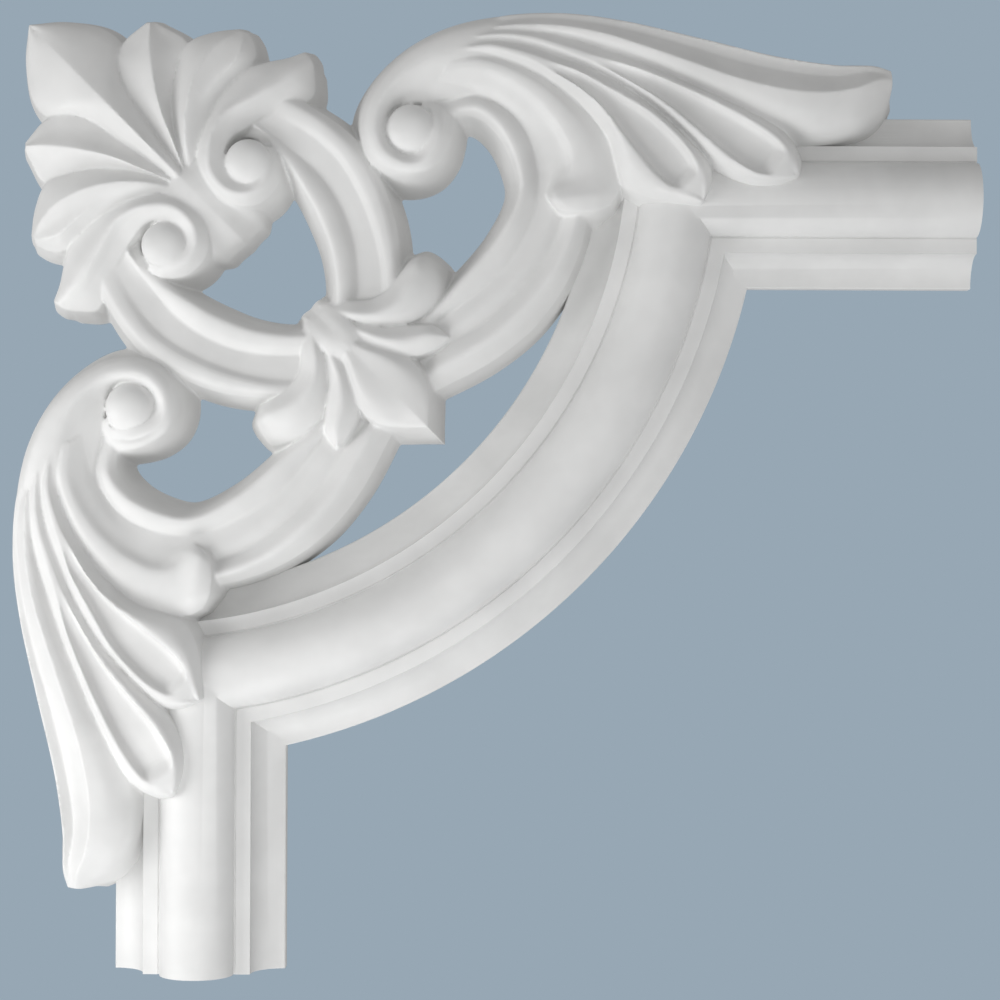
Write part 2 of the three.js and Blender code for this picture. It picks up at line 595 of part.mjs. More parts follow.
// Half of the small palmette on the ring: a middle lobe, a narrow side lobe and a curled one.
function smallPalmette() {
  const steps = 10;
  const middleLobe = carve(
    [
      axisRail([[322, 23], [345, 28.2], [376, 29.6], [400, 29.8], [414, 29.3], [428, 27.5]], steps),
      rail(
        [
          [332, 327, 24.5], [357, 345, 28.9], [386, 359, 29.8], [404, 374, 29.7], [413, 391, 29.3],
          [420, 408, 28.6], [428, 426, 27.4],
        ],
        steps,
      ),
      rail(
        [
          [334, 327.5, 24], [361, 343.5, 27.8], [390, 355, 28.6], [410, 368, 28.6], [421, 385, 28.4],
          [425, 404, 28], [428, 425, 27.4],
        ],
        steps,
      ),
      rail(
        [
          [336, 328, 23.5], [363, 341, 26.3], [391, 352, 26.9], [413, 362, 26.9], [425, 378, 26.9],
          [428.5, 396, 27], [428, 424, 27.3],
        ],
        steps,
      ),
    ],
    Math.SQRT2, // its tip is a square corner
    0,
  );
  const narrow = lobe(
    [
      [
        [334, 318, 24.5], [355, 322, 25.5], [383, 328, 26], [410, 326, 25.8], [434, 326, 25],
        [448, 335, 23.5],
      ],
      [
        [336, 320.5, 26], [360, 331, 28], [380, 338, 29], [404, 340, 29], [430, 334.5, 28],
        [448, 336.5, 25],
      ],
      [
        [337, 324, 25], [362, 341, 26.2], [390, 352, 26.7], [415, 356, 25.8], [436, 348, 25],
        [449, 338.5, 23.5],
      ],
    ],
    steps,
  );
  const curled = lobe(
    [
      [[318, 303, 19], [348, 301, 24], [372, 299, 25], [391, 287, 25], [403, 270, 24], [411, 259, 20]],
      [
        [319, 305.5, 21], [350, 313, 28], [378, 312, 29.2], [399, 300, 29.5], [412, 279, 29],
        [418, 264, 27], [422, 256, 21],
      ],
      [
        [320, 308, 21], [350, 317.5, 27.2], [384, 318.5, 28.2], [410, 307, 28], [427, 287, 27.2],
        [432, 270, 25], [434, 260, 18.5],
      ],
      [
        [321, 310, 20], [350, 320.5, 25.5], [387, 325, 25.2], [418, 319, 24.5], [437, 301, 22.5],
        [446, 285, 19.5], [448, 270, 14.5],
      ],
    ],
    steps,
  );
  const root = carve([
    axisRail([[310, 17], [320, 24], [332, 28.2], [345, 29.2], [358, 27.4]], 5),
    rail(
      [[318, 300, 17], [330, 306, 23.5], [344, 316, 27], [356, 327, 27.6], [366, 338, 26]],
      5,
    ),
  ]);
  return [middleLobe, narrow, curled, root];
}

const halfPieces = [...leaf(), ...volute(), ...ring(), ...cornerPalmette(), ...smallPalmette()];
const half = halfPieces.reduce((sum, piece) => sum.add(piece));

// A solid made anew from its mesh, so that its flat faces count as one, with every point moved by a
// function.
function remade(solid, moved = ([x, y, z]) => new THREE.Vector3(x, y, z)) {
  const mesh = solid.getMesh();
  const vertices = [];
  for (let i = 0; i < mesh.vertProperties.length; i += mesh.numProp) {
    vertices.push(moved(mesh.vertProperties.slice(i, i + 3)));
  }
  const triangles = [];
  for (let i = 0; i < mesh.triVerts.length; i += 3) triangles.push([...mesh.triVerts.slice(i, i + 3)]);
  return solidOf(vertices, triangles);
}

// Whether a vertex can be drawn into another without turning over any triangle round it.
function canMove(from, to, around, vertices) {
  return around.every((triangle) => {
    if (triangle.includes(to)) return true;
    const before = triangle.map((i) => vertices[i]);
    const after = triangle.map((i) => vertices[i === from ? to : i]);
    const normal = (p) => p[1].clone().sub(p[0]).cross(p[2].clone().sub(p[0]));
    return normal(before).normalize().dot(normal(after).normalize()) > MOST_TURN;
  });
}

// The same solid without the slivers that joining leaves: each very short edge is drawn to one point,
// and only the surface that hangs together with the moulding's end is kept, not the pockets inside it.
function withoutSlivers(solid) {
  const mesh = solid.getMesh();
  const vertices = [];
  for (let i = 0; i < mesh.vertProperties.length; i += mesh.numProp) {
    vertices.push(new THREE.Vector3(...mesh.vertProperties.slice(i, i + 3)));
  }
  const around = vertices.map(() => new Set());
  for (let i = 0; i < mesh.triVerts.length; i += 3) {
    const triangle = [...mesh.triVerts.slice(i, i + 3)];
    triangle.forEach((corner) => around[corner].add(triangle));
  }
  const neighbours = (i) => new Set([...around[i]].flat().filter((corner) => corner !== i));
  const onFlat = (i) => vertices[i].z === 0 || Math.max(vertices[i].x, vertices[i].y) >= RUN_LENGTH;
  vertices.forEach((_, from) => {
    for (const to of neighbours(from)) {
      if (vertices[from].distanceTo(vertices[to]) > SLIVER || (onFlat(from) && !onFlat(to))) continue;
      if (onFlat(from) && vertices[from].z !== vertices[to].z) continue;
      const shared = [...neighbours(from)].filter((i) => neighbours(to).has(i));
      if (shared.length !== 2 || !canMove(from, to, [...around[from]], vertices)) continue;
      for (const triangle of around[from]) {
        triangle.forEach((corner) => around[corner].delete(triangle));
        if (triangle.includes(to)) continue;
        const moved = triangle.map((corner) => (corner === from ? to : corner));
        moved.forEach((corner) => around[corner].add(moved));
      }
      break;
    }
  });
  const outermost = vertices.reduce((best, vertex, i) => (vertex.x > vertices[best].x ? i : best), 0);
  const surface = new Set();
  const waiting = [outermost];
  while (waiting.length) {
    for (const triangle of around[waiting.pop()]) {
      if (surface.has(triangle)) continue;
      surface.add(triangle);
      waiting.push(...triangle);
    }
  }
  return solidOf(vertices, [...surface]);
}

const swapped = ([x, y, z]) => new THREE.Vector3(y, x, z);
const whole = remade(remade(half).add(remade(half, swapped)));
const casting = withoutSlivers(remade(whole.add(mouldingRun())));

// The finished solid as geometry, stood up: across is X, down is -Z and out is -Y.
function stoodUp(solid) {
  const mesh = solid.getMesh();
  const position = new Float32Array(mesh.vertProperties.length);
  for (let i = 0; i < position.length; i += 3) {
    const [x, y, z] = mesh.vertProperties.slice(i, i + 3);
    position.set([x, -z, -y], i);
  }
  const geometry = new THREE.BufferGeometry();
  geometry.setAttribute('position', new THREE.BufferAttribute(position, 3));
  geometry.setIndex([...mesh.triVerts].reverse()); // standing up mirrors it, so its faces turn round
  return geometry;
}

const foam = new THREE.MeshStandardMaterial({ color: 0xe9e8e6, roughness: 0.55, metalness: 0 });
const corner = new THREE.Mesh(stoodUp(casting), foam);
corner.name = 'moulding_corner';

const group = new THREE.Group();
group.add(corner);

export default group;
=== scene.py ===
"""A wall moulding corner cast in hard white foam, with an acanthus scroll and two palmettes.

The casting is one piece: a torus-and-cove moulding that turns an inward quarter circle, and on its
outer side an openwork ornament, symmetric about the corner's diagonal. Each carved form is a sheet
drawn over rails, with walls that lean out towards the wall plane. The forms are fused, softened as
a mould softens them, and joined to the crisp moulding.
"""
from __future__ import annotations

import logging
import math
from collections.abc import Callable, Sequence
from dataclasses import dataclass, field
from enum import Enum

import bpy
import numpy as np
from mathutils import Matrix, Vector

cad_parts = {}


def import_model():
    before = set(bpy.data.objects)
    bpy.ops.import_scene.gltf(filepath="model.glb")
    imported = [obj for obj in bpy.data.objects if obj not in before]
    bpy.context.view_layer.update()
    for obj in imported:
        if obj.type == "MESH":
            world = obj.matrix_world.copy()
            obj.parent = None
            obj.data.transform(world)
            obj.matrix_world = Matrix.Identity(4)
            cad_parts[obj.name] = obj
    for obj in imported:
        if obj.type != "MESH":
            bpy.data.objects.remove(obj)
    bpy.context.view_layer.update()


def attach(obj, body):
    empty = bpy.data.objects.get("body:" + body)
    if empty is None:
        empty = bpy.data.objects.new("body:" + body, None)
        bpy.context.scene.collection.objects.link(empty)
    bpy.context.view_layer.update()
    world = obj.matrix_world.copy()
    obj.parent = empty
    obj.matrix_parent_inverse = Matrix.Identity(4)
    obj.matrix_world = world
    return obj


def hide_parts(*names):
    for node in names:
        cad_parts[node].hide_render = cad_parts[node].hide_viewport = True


LOG = logging.getLogger("moulding_corner")

Points = Sequence[tuple[float, float, float]]
Lift = Callable[[np.ndarray], np.ndarray]
MM = 0.001
NODE = "moulding_corner"
SLOT = "primed_foam"


class Half(Enum):
    """The two mirrored halves of the ornament, either side of the corner's diagonal."""

    LEVEL = "beside the level moulding"
    UPRIGHT = "beside the upright moulding"


@dataclass(frozen=True)
class Drawing:
    """The flat view that the carving's points are read from, seen from the front at a distance."""

    unit: float = 0.356  # mm for one unit on the wall plane
    middle: float = 500.0  # where it is seen straight on, across and down, in units
    corner: float = 117.5  # where the moulding's outer edges cross, in units
    corner_out: float = 6.0  # mm that those edges stand out
    turn: float = math.radians(0.25)  # the drawing is turned this far clockwise
    distance: float = 820.0  # mm from the eye to the wall

    def scale_at(self, out: np.ndarray | float) -> np.ndarray | float:
        """Return the mm that one unit covers at a height above the wall."""
        return self.unit * (1 - out / self.distance)

    @property
    def middle_mm(self) -> float:
        """Where the view's middle lies, across and down from the outer corner, in mm."""
        return float((self.middle - self.corner) * self.scale_at(self.corner_out))

    def place(self, points: Points) -> np.ndarray:
        """Turn drawing points into the casting's flat coordinates.

        Args:
            points: (across, down) in units and out in mm.

        Returns:
            An array of (across, down, out) in mm.
        """
        drawn = np.array(points, dtype=float)
        flat = drawn[:, :2] - self.middle
        cos, sin = math.cos(self.turn), math.sin(self.turn)
        across, down = flat[:, 0], flat[:, 1]
        turned = np.stack([across * cos + down * sin, down * cos - across * sin], 1)
        scale = self.scale_at(drawn[:, 2])[:, None]
        return np.concatenate([self.middle_mm + turned * scale, drawn[:, 2:]], axis=1)


DRAWING = Drawing()


@dataclass(frozen=True)
class Fineness:
    """How finely the forms are sampled and fused."""

    voxel: float = 0.5  # mm
    across: int = 5  # steps between two rails
    along: int = 5  # stations for each step of a form
    softening: int = 5  # passes that round the edges as a mould does
    faces: int = 165_000  # triangles of the fused ornament

    @staticmethod
    def chosen() -> "Fineness":
        return Fineness()


FINENESS = Fineness.chosen()
UNDER = 2.0  # mm that every form runs on behind the wall plane, before the back is cut flat
DRAFT = 0.19  # how far a wall leans out for each mm that it drops
SPLINE_STEPS = 24  # steps from one point of a rail to the next, before it is spaced evenly
NO_GAP = 1e-6  # keeps two points in one place from dividing by nothing
NO_LENGTH = 1e-9  # mm; the same for a direction of no length
WELD = 1e-7  # m within which corners of one sheet are made one


def smooth_through(points: np.ndarray, per_span: int) -> np.ndarray:
    """Pass a centripetal spline through points along the first axis.

    Args:
        points: positions, of shape (count, ..., 3).
        per_span: steps between two neighbours.

    Returns:
        The positions on the spline, the last one included.
    """
    held = np.concatenate([2 * points[:1] - points[1:2], points, 2 * points[-1:] - points[-2:-1]])
    gaps = np.sqrt(np.linalg.norm(np.diff(held, axis=0), axis=-1, keepdims=True)) + NO_GAP
    knots = np.concatenate([np.zeros_like(gaps[:1]), np.cumsum(gaps, axis=0)])
    found = []
    for span in range(1, len(held) - 2):
        p = held[span - 1:span + 3]
        k = knots[span - 1:span + 3]
        for share in np.arange(per_span) / per_span:
            at = k[1] + share * (k[2] - k[1])
            first = [p[i] + (p[i + 1] - p[i]) * (at - k[i]) / (k[i + 1] - k[i]) for i in range(3)]
            second = [
                first[i] + (first[i + 1] - first[i]) * (at - k[i]) / (k[i + 2] - k[i]) for i in range(2)
            ]
            found.append(second[0] + (second[1] - second[0]) * (at - k[1]) / (k[2] - k[1]))
    return np.array(found + [held[-2]])


def evenly(points: np.ndarray, steps: int) -> np.ndarray:
    """Return the spline through points as steps + 1 stations, evenly spaced along it."""
    dense = smooth_through(points, SPLINE_STEPS)
    length = np.concatenate([[0], np.cumsum(np.linalg.norm(np.diff(dense, axis=0), axis=1))])
    wanted = np.linspace(0, length[-1], steps + 1)
    return np.stack([np.interp(wanted, length, dense[:, axis]) for axis in range(3)], 1)


def rail(points: Points, steps: int) -> np.ndarray:
    """Return a rail through drawing points, at this script's fineness."""
    return evenly(DRAWING.place(points), steps * FINENESS.along)


def axis_rail(points: Sequence[tuple[float, float]], steps: int) -> np.ndarray:
    """Return a rail on the corner's diagonal, through (distance along it, out) points."""
    stations = rail([(at, at, out) for at, out in points], steps)
    stations[:, :2] = stations[:, :2].mean(axis=1, keepdims=True)
    return stations


def between(start: np.ndarray, end: np.ndarray, share: float, lift: Lift) -> np.ndarray:
    """Return a rail a share of the way between two rails, lifted by lift(place along it)."""
    mixed = start + (end - start) * share
    mixed[:, 2] += lift(np.linspace(0, 1, len(mixed)))
    return mixed


def eased(low: float, high: float, value: np.ndarray) -> np.ndarray:
    """Rise smoothly from 0 at low to 1 at high."""
    share = np.clip((value - low) / (high - low), 0, 1)
    return share * share * (3 - 2 * share)


def relief(
    rails: Sequence[np.ndarray],
    ridges: Sequence[int] = (),
    reach: float = 1.0,
    tip_way: float = 0.5,
) -> np.ndarray:
    """Raise a form over rails that run side by side from its root to its tip.

    Args:
        rails: stations of each rail; the first and the last are the form's edges.
        ridges: which rails are sharp ridges or grooves; across the others the form is smooth.
        reach: how far the wall before the tip leans out, against the side walls.
        tip_way: where it leans: the way that the first rail ends (0), the last one (1) or between.

    Returns:
        Closed sections, root to tip, of shape (rows, points in a section, 3).
    """
    stack = np.array(rails)
    stops = [0, *ridges, len(rails) - 1]
    faces = [smooth_through(stack[a:b + 1], FINENESS.across) for a, b in zip(stops, stops[1:])]
    crown = np.concatenate([faces[0], *(face[1:] for face in faces[1:])]).transpose(1, 0, 2)
    first, last = stack[0], stack[-1]
    widest = int(np.clip(np.argmax(np.linalg.norm(first - last, axis=1)), 1, len(first) - 2))
    way = np.gradient(first[:, :2], axis=0)[widest]
    aside = (first - last)[widest]
    side = math.copysign(1, aside[0] * way[1] - aside[1] * way[0])

    def foot(edge: np.ndarray, facing: float) -> np.ndarray:
        """Return the foot of the wall under an edge, behind the wall plane."""
        along = np.gradient(edge[:, :2], axis=0)
        along /= np.linalg.norm(along, axis=1, keepdims=True) + NO_LENGTH
        lean = DRAFT * (edge[:, 2:] + UNDER)
        foot_at = edge.copy()
        foot_at[:, :2] += facing * np.stack([along[:, 1], -along[:, 0]], 1) * lean
        foot_at[:, 2] = -UNDER
        return foot_at

    sections = np.concatenate([foot(first, side)[:, None], crown, foot(last, -side)[:, None]], axis=1)
    tip = first + (last - first) * tip_way
    ahead = tip[-1, :2] - tip[-2, :2]
    ahead /= np.linalg.norm(ahead)
    toe = sections[-1].copy()
    toe[:, :2] += ahead * reach * DRAFT * (toe[:, 2:] + UNDER)
    toe[:, 2] = -UNDER
    return np.concatenate([sections, toe[None]])


def lobe(lines: Sequence[Points], steps: int = 12, ridges: Sequence[int] = ()) -> np.ndarray:
    """Raise a form whose rails are all given as drawing points."""
    return relief([rail(points, steps) for points in lines], ridges)


def ridged(lines: Sequence[Points], sink: float, quickness: float, steps: int = 12) -> np.ndarray:
    """Raise a lobe with one sharp ridge between two hollow faces.

    Args:
        lines: one edge, the ridge and the other edge.
        sink: mm that the faces are held down.
        quickness: how soon they are fully down: all along (1) or sooner (more).
        steps: stations along the lobe, before fineness.

    Returns:
        The lobe's sections.
    """
    edge, ridge, other = (rail(points, steps) for points in lines)

    def sunk(along: np.ndarray) -> np.ndarray:
        """Return how far a face is held down along the lobe."""
        return -sink * np.sin(math.pi * np.minimum(quickness * along, 1) / 2)

    faces = [between(side, ridge, 0.5, sunk) for side in (edge, other)]
    return relief([edge, faces[0], ridge, faces[1], other], ridges=[2])


@dataclass(frozen=True)
class Spoon:
    """How a spoon-shaped lobe is cut: a raised rim on both sides and a hollow between them."""

    depth: float = 3.4  # mm that the hollow lies under the rims
    opens: float = 0.25  # share of the length over which the hollow deepens
    closes: float = 0.05  # share of the length over which it ends
    bed: tuple[tuple[float, float], ...] = (
        (0.06, 0.35), (0.13, 0.85), (0.28, 1.0), (0.55, 1.0), (0.86, 0.95), (0.95, 0.45),
    )  # (share of the way from rim to rim, share of the depth)
    flank_shares: tuple[float, float] = (0.5, 0.4)  # where each rim's outer flank swells
    flank_swell: float = 1.4  # mm that it swells towards the tip
    swells: tuple[float, float] = (0.4, 0.7)  # shares of the length where that begins and is full
    steps: int = 17

    def carve(
        self, edges: Sequence[Points], rims: Sequence[Points], start: float, end: float
    ) -> np.ndarray:
        """Raise one lobe.

        Args:
            edges: the lobe's two edges.
            rims: the crests of its two rims.
            start: share of the length where the hollow begins.
            end: share of the length where it begins to close.

        Returns:
            The lobe's sections.
        """
        upper, lower = (rail(points, self.steps) for points in edges)
        rim_a, rim_b = (rail(points, self.steps) for points in rims)

        def hollow(along: np.ndarray) -> np.ndarray:
            """Return the hollow's depth: none at the root, full on the way, closed at its end."""
            opened = eased(start, start + self.opens, along)
            return -self.depth * opened * (1 - eased(end, end + self.closes, along))

        shelves = [
            between(rim_a, rim_b, share, lambda along, deep=deep: deep * hollow(along))
            for share, deep in self.bed
        ]
        shoulders = [
            between(rim, edge, share, lambda along: self.flank_swell * eased(*self.swells, along))
            for rim, edge, share in zip((rim_a, rim_b), (upper, lower), self.flank_shares)
        ]
        return relief([upper, shoulders[0], rim_a, *shelves, rim_b, shoulders[1], lower])


def deselect_all() -> None:
    """Leave object mode with nothing selected."""
    if bpy.context.object and bpy.context.object.mode != "OBJECT":
        bpy.ops.object.mode_set(mode="OBJECT")
    bpy.ops.object.select_all(action="DESELECT")


def make_active(piece: bpy.types.Object) -> None:
    """Select one object alone and make it active."""
    deselect_all()
    piece.select_set(True)
    bpy.context.view_layer.objects.active = piece


def standing(flat: np.ndarray) -> np.ndarray:
    """Stand flat (across, down, out) mm up in the frame, in metres: X across, -Z down, -Y out."""
    return np.stack([flat[..., 0], -flat[..., 2], -flat[..., 1]], -1) * MM


def apply_modifier(piece: bpy.types.Object, kind: str, **settings: object) -> None:
    """Add a modifier with its settings to a piece and apply it."""
    make_active(piece)
    modifier = piece.modifiers.new(kind.title(), kind)
    for name, value in settings.items():
        setattr(modifier, name, value)
    bpy.ops.object.modifier_apply(modifier=modifier.name)


def closed_sheet(name: str, sections: np.ndarray) -> bpy.types.Object:
    """Wrap a grid round closed sections and close both its ends.

    Args:
        name: the new object's name.
        sections: (rows, points in a section, 3), flat mm.

    Returns:
        The closed mesh object.
    """
    ringed = np.concatenate([sections, sections[:, :1]], axis=1)
    rows, columns = ringed.shape[:2]
    deselect_all()
    bpy.ops.mesh.primitive_grid_add(x_subdivisions=columns - 1, y_subdivisions=rows - 1, size=1)
    piece = bpy.context.object
    piece.name = name
    piece.data.vertices.foreach_set("co", standing(ringed).ravel())
    bpy.ops.object.mode_set(mode="EDIT")
    bpy.ops.mesh.select_all(action="SELECT")
    bpy.ops.mesh.remove_doubles(threshold=WELD)
    bpy.ops.mesh.select_all(action="SELECT")
    bpy.ops.mesh.fill_holes(sides=0)
    bpy.ops.mesh.select_all(action="SELECT")
    bpy.ops.mesh.normals_make_consistent(inside=False)
    bpy.ops.object.mode_set(mode="OBJECT")
    return piece


def joined(pieces: Sequence[bpy.types.Object], name: str) -> bpy.types.Object:
    """Join mesh objects into one, without fusing them."""
    deselect_all()
    for piece in pieces:
        piece.select_set(True)
    bpy.context.view_layer.objects.active = pieces[0]
    bpy.ops.object.join()
    whole = bpy.context.object
    whole.name = name
    return whole


@dataclass
class Ornament:
    """One carved part of the ornament, made for the level half and mirrored for the upright one."""

    name: str = "ornament"

    def forms(self) -> list[np.ndarray]:
        """Return the sections of every form in the level half."""
        raise NotImplementedError

    def eyes(self) -> list["Eye"]:
        """Return the domed eyes of this part's volutes."""
        return []

    def build(self) -> list[bpy.types.Object]:
        """Make this part's forms and eyes in both halves."""
        pieces = []
        for half in Half:
            for number, sections in enumerate(self.forms()):
                flat = sections if half is Half.LEVEL else sections[..., [1, 0, 2]]
                pieces.append(closed_sheet(f"{self.name}_{half.name.lower()}_{number}", flat))
            pieces += [piece for eye in self.eyes() for piece in eye.build(half)]
        return pieces


@dataclass
class Eye:
    """The domed eye of a volute, standing on a drum."""

    centre: tuple[float, float]  # drawing units
    radius: float  # drawing units
    rim: float  # mm out
    top: float  # mm out
    flare: float = 1.15  # the drum's foot for each mm of its top
    segments: int = 48  # round the drum and the dome, which has half as many rings

    def build(self, half: Half) -> list[bpy.types.Object]:
        """Make the dome and the drum under it."""
        across, down, _ = DRAWING.place([(*self.centre, self.rim)])[0]
        if half is Half.UPRIGHT:
            across, down = down, across
        wide = self.radius * DRAWING.scale_at(self.rim)
        deselect_all()
        bpy.ops.mesh.primitive_uv_sphere_add(
            segments=self.segments, ring_count=self.segments // 2, radius=1,
            location=standing(np.array([across, down, self.rim])),
            scale=(wide * MM, (self.top - self.rim) * MM, wide * MM),
        )
        dome = bpy.context.object
        deselect_all()
        depth = self.rim + UNDER
        bpy.ops.mesh.primitive_cone_add(
            vertices=self.segments, depth=depth * MM,
            radius1=wide * self.flare * MM, radius2=wide * MM,
            location=standing(np.array([across, down, self.rim - depth / 2])),
            rotation=(math.pi / 2, 0, 0),
        )
        return [dome, bpy.context.object]


@dataclass
class Leaf(Ornament):
    """The acanthus leaf, from its outer lobe to the tongue over the scroll."""

    name: str = "leaf"
    spoon: Spoon = field(default_factory=Spoon)

    def forms(self) -> list[np.ndarray]:
        """Return the outer lobe, the two spoon-shaped lobes and the tongue."""
        outer = lobe(
            [
                [
                    (446, 44, 19), (474, 26, 22.5), (500, 16.5, 24), (560, 13, 25), (620, 20, 26),
                    (700, 38, 27), (780, 57, 28), (840, 65.5, 28), (874, 66, 26.5), (891, 71, 22),
                ],
                [
                    (450, 46, 21), (478, 29, 23.5), (520, 18.5, 24.8), (580, 20.5, 25.6),
                    (640, 32, 25.6), (728, 57.5, 26), (779, 69.5, 26.2), (830, 76.5, 26.3),
                    (868, 72, 26), (892, 75, 22),
                ],
                [
                    (454, 47, 22), (490, 28, 26.5), (550, 24.5, 28.3), (600, 32, 29.5), (640, 44, 30.8),
                    (690, 61, 31.8), (740, 78, 32.7), (791, 89.5, 33.3), (830, 91.5, 33.3),
                    (858, 87, 32), (880, 79, 27.5), (892.5, 79, 22.5),
                ],
                [
                    (458, 48, 22), (500, 31, 26.3), (550, 30, 27.8), (600, 39, 28.7), (640, 52, 29.7),
                    (690, 71, 30.7), (740, 91, 31.6), (785, 108, 32.2), (826, 111, 32),
                    (850, 106, 30.8), (873, 95, 27), (892.5, 85, 21.5),
                ],
                [
                    (460, 49, 21.5), (510, 34, 25), (560, 35.5, 26.2), (640, 60, 27.6), (712, 92, 28.8),
                    (765, 120, 29), (796, 131, 27.8), (830, 133, 27.3), (856, 124, 26.2),
                    (877, 108, 23), (891.5, 91, 19.5),
                ],
                [
                    (462, 50, 20), (520, 42, 23), (570, 45, 25), (640, 65, 26), (700, 92, 27),
                    (750, 120, 26.5), (785, 141, 21), (830, 147, 14), (862, 138, 13), (881, 120, 14),
                    (889.5, 100, 17),
                ],
            ],
            15,
            ridges=[1, 2],
        )
        second = self.spoon.carve(
            edges=[
                [
                    (466, 33.5, 26.5), (500, 30, 26.8), (530, 30, 26.8), (560, 36, 26.8),
                    (600, 49.5, 27), (640, 62, 27.2), (700, 88, 27.5), (740, 106.5, 28), (770, 122, 28),
                    (787, 135.5, 28), (797, 150, 28), (801, 163, 28), (800, 174, 28),
                ],
                [
                    (470, 43, 26.8), (500, 40.5, 26.8), (530, 46, 26.8), (565, 59, 26.8), (600, 73, 27),
                    (640, 97.5, 27.5), (668, 120.5, 28), (690, 141, 28), (708, 160, 28), (722, 172, 28),
                    (740, 181.5, 28), (760, 185.5, 28), (780, 184, 28), (797, 177.5, 28),
                ],
            ],
            rims=[
                [
                    (467, 37, 28), (500, 33.5, 28.3), (530, 36, 28.8), (565, 46, 29.4), (600, 57, 30.3),
                    (640, 69, 31.3), (702, 95.5, 32.7), (756, 124, 33.7), (778, 140, 34),
                    (787, 150, 33.8), (790, 161, 33.1), (796, 173.5, 30.5),
                ],
                [
                    (468, 38.5, 28), (500, 35.5, 28.3), (530, 39, 28.8), (565, 50.5, 29.4),
                    (600, 65, 30.2), (640, 86.5, 31.3), (668, 104.5, 32), (695, 126.5, 33),
                    (715, 144, 33.8), (735, 160, 34), (755, 171.5, 34), (770, 175, 33.6),
                    (784, 175, 32.5), (796, 174.5, 30.5),
                ],
            ],
            start=0.33,
            end=0.885,
        )
        third = self.spoon.carve(
            edges=[
                [
                    (442, 48, 26.8), (470, 43, 27), (500, 41, 27), (530, 46, 27), (565, 59, 27.2),
                    (600, 73, 27.5), (640, 97, 28), (668, 120, 28.5), (690, 141, 28.7), (704, 157, 29),
                    (711, 170, 29.2), (711, 184, 29.5), (704, 200, 30),
                ],
                [
                    (446, 57, 26.8), (480, 54.5, 26.8), (500, 57.5, 26.6), (520, 64.5, 26.3),
                    (540, 74, 26.2), (560, 86.5, 26.2), (580, 102, 26.2), (600, 123, 26.4),
                    (611, 141, 26.7), (617, 162, 27), (625, 185, 27.6), (645, 197, 28.5),
                    (670, 202, 29), (701, 204, 29.5),
                ],
            ],
            rims=[
                [
                    (440, 52, 28.8), (470, 46, 29), (490, 44, 29.2), (510, 48, 29.6), (530, 53.5, 30),
                    (553, 62, 30.6), (578, 71, 31), (600, 83, 31.5), (622, 95.5, 32), (651, 113, 32.8),
                    (684, 144, 33.5), (696, 163, 33.6), (701, 180, 33), (704, 199, 31),
                ],
                [
                    (441, 53.5, 28.8), (470, 48.5, 29), (490, 47.5, 29.2), (510, 52, 29.6),
                    (530, 59, 30), (550, 69.5, 30.5), (580, 87.5, 31.2), (602, 106.5, 31.8),
                    (617, 125, 32.3), (631, 144, 32.9), (646, 162.5, 33.3), (658, 176, 33.5),
                    (671, 185.5, 33.3), (685, 190, 32.9), (695, 194.5, 32.2), (703, 200, 31),
                ],
            ],
            start=0.3,
            end=0.875,
        )
        tongue = lobe(
            [
                [
                    (424, 100, 22.5), (470, 94, 22.3), (500, 104, 22.1), (520, 122, 22), (532, 145, 22),
                    (537, 168, 21.5), (540, 184, 20.5), (546, 197, 20), (554, 208, 20.5),
                ],
                [
                    (428, 90, 24.3), (477, 86, 24.6), (498, 93, 24.2), (514, 104, 23.8),
                    (528, 116, 23.5), (540, 132, 23.2), (548, 147, 23), (551, 162, 22.6),
                    (549, 178, 22), (548, 190, 22.3), (552, 201, 26.5), (559, 210, 26),
                ],
                [
                    (442, 76, 27), (480, 75, 26.6), (500, 82, 26.1), (517, 92, 25.7), (533, 105, 25.3),
                    (547, 121, 24.9), (558, 137, 24.6), (564, 152, 24.4), (565, 167, 24.3),
                    (558, 181, 24.8), (554, 191, 27), (558, 200, 28.6), (565, 211, 27),
                ],
                [
                    (446, 68, 28.2), (480, 66, 28.2), (503, 74, 27.9), (521, 84, 27.6), (539, 99, 27.4),
                    (555, 117, 27.1), (565, 134, 27), (572, 150, 26.9), (573, 166, 26.9),
                    (568, 180, 27), (562, 190, 28.2), (566, 199, 29), (573, 212, 27.2),
                ],
                [
                    (448, 60, 28.5), (480, 59, 28.3), (505, 66, 28), (525, 75, 27.8), (543, 86, 27.7),
                    (561, 103, 27.5), (575, 119, 27.3), (585, 136, 27.2), (590, 155, 27.1),
                    (590, 172, 27.2), (586, 186, 28), (584, 197, 28.8), (586, 212, 27.2),
                ],
                [
                    (450, 57.5, 27.3), (480, 56.5, 27.2), (503, 61.5, 26.9), (523, 69.5, 26.5),
                    (542, 79.5, 26.1), (562, 94, 25.8), (581, 111, 25.6), (597, 130, 25.5),
                    (606, 150, 25.4), (608, 168, 25.8), (604, 184, 27), (601, 195, 27.8),
                    (599, 210, 26.5),
                ],
                [
                    (452, 56, 26), (480, 55, 26), (500, 57.5, 26), (520, 64.5, 25.6), (540, 74, 25.2),
                    (560, 86.5, 24.8), (580, 102, 24.6), (600, 123, 24.4), (612, 141, 24.3),
                    (618, 160, 24.2), (620, 178, 24.2), (618, 192, 24.5), (611, 204, 24.5),
                ],
            ],
            13,
        )
        return [outer, second, third, tongue]


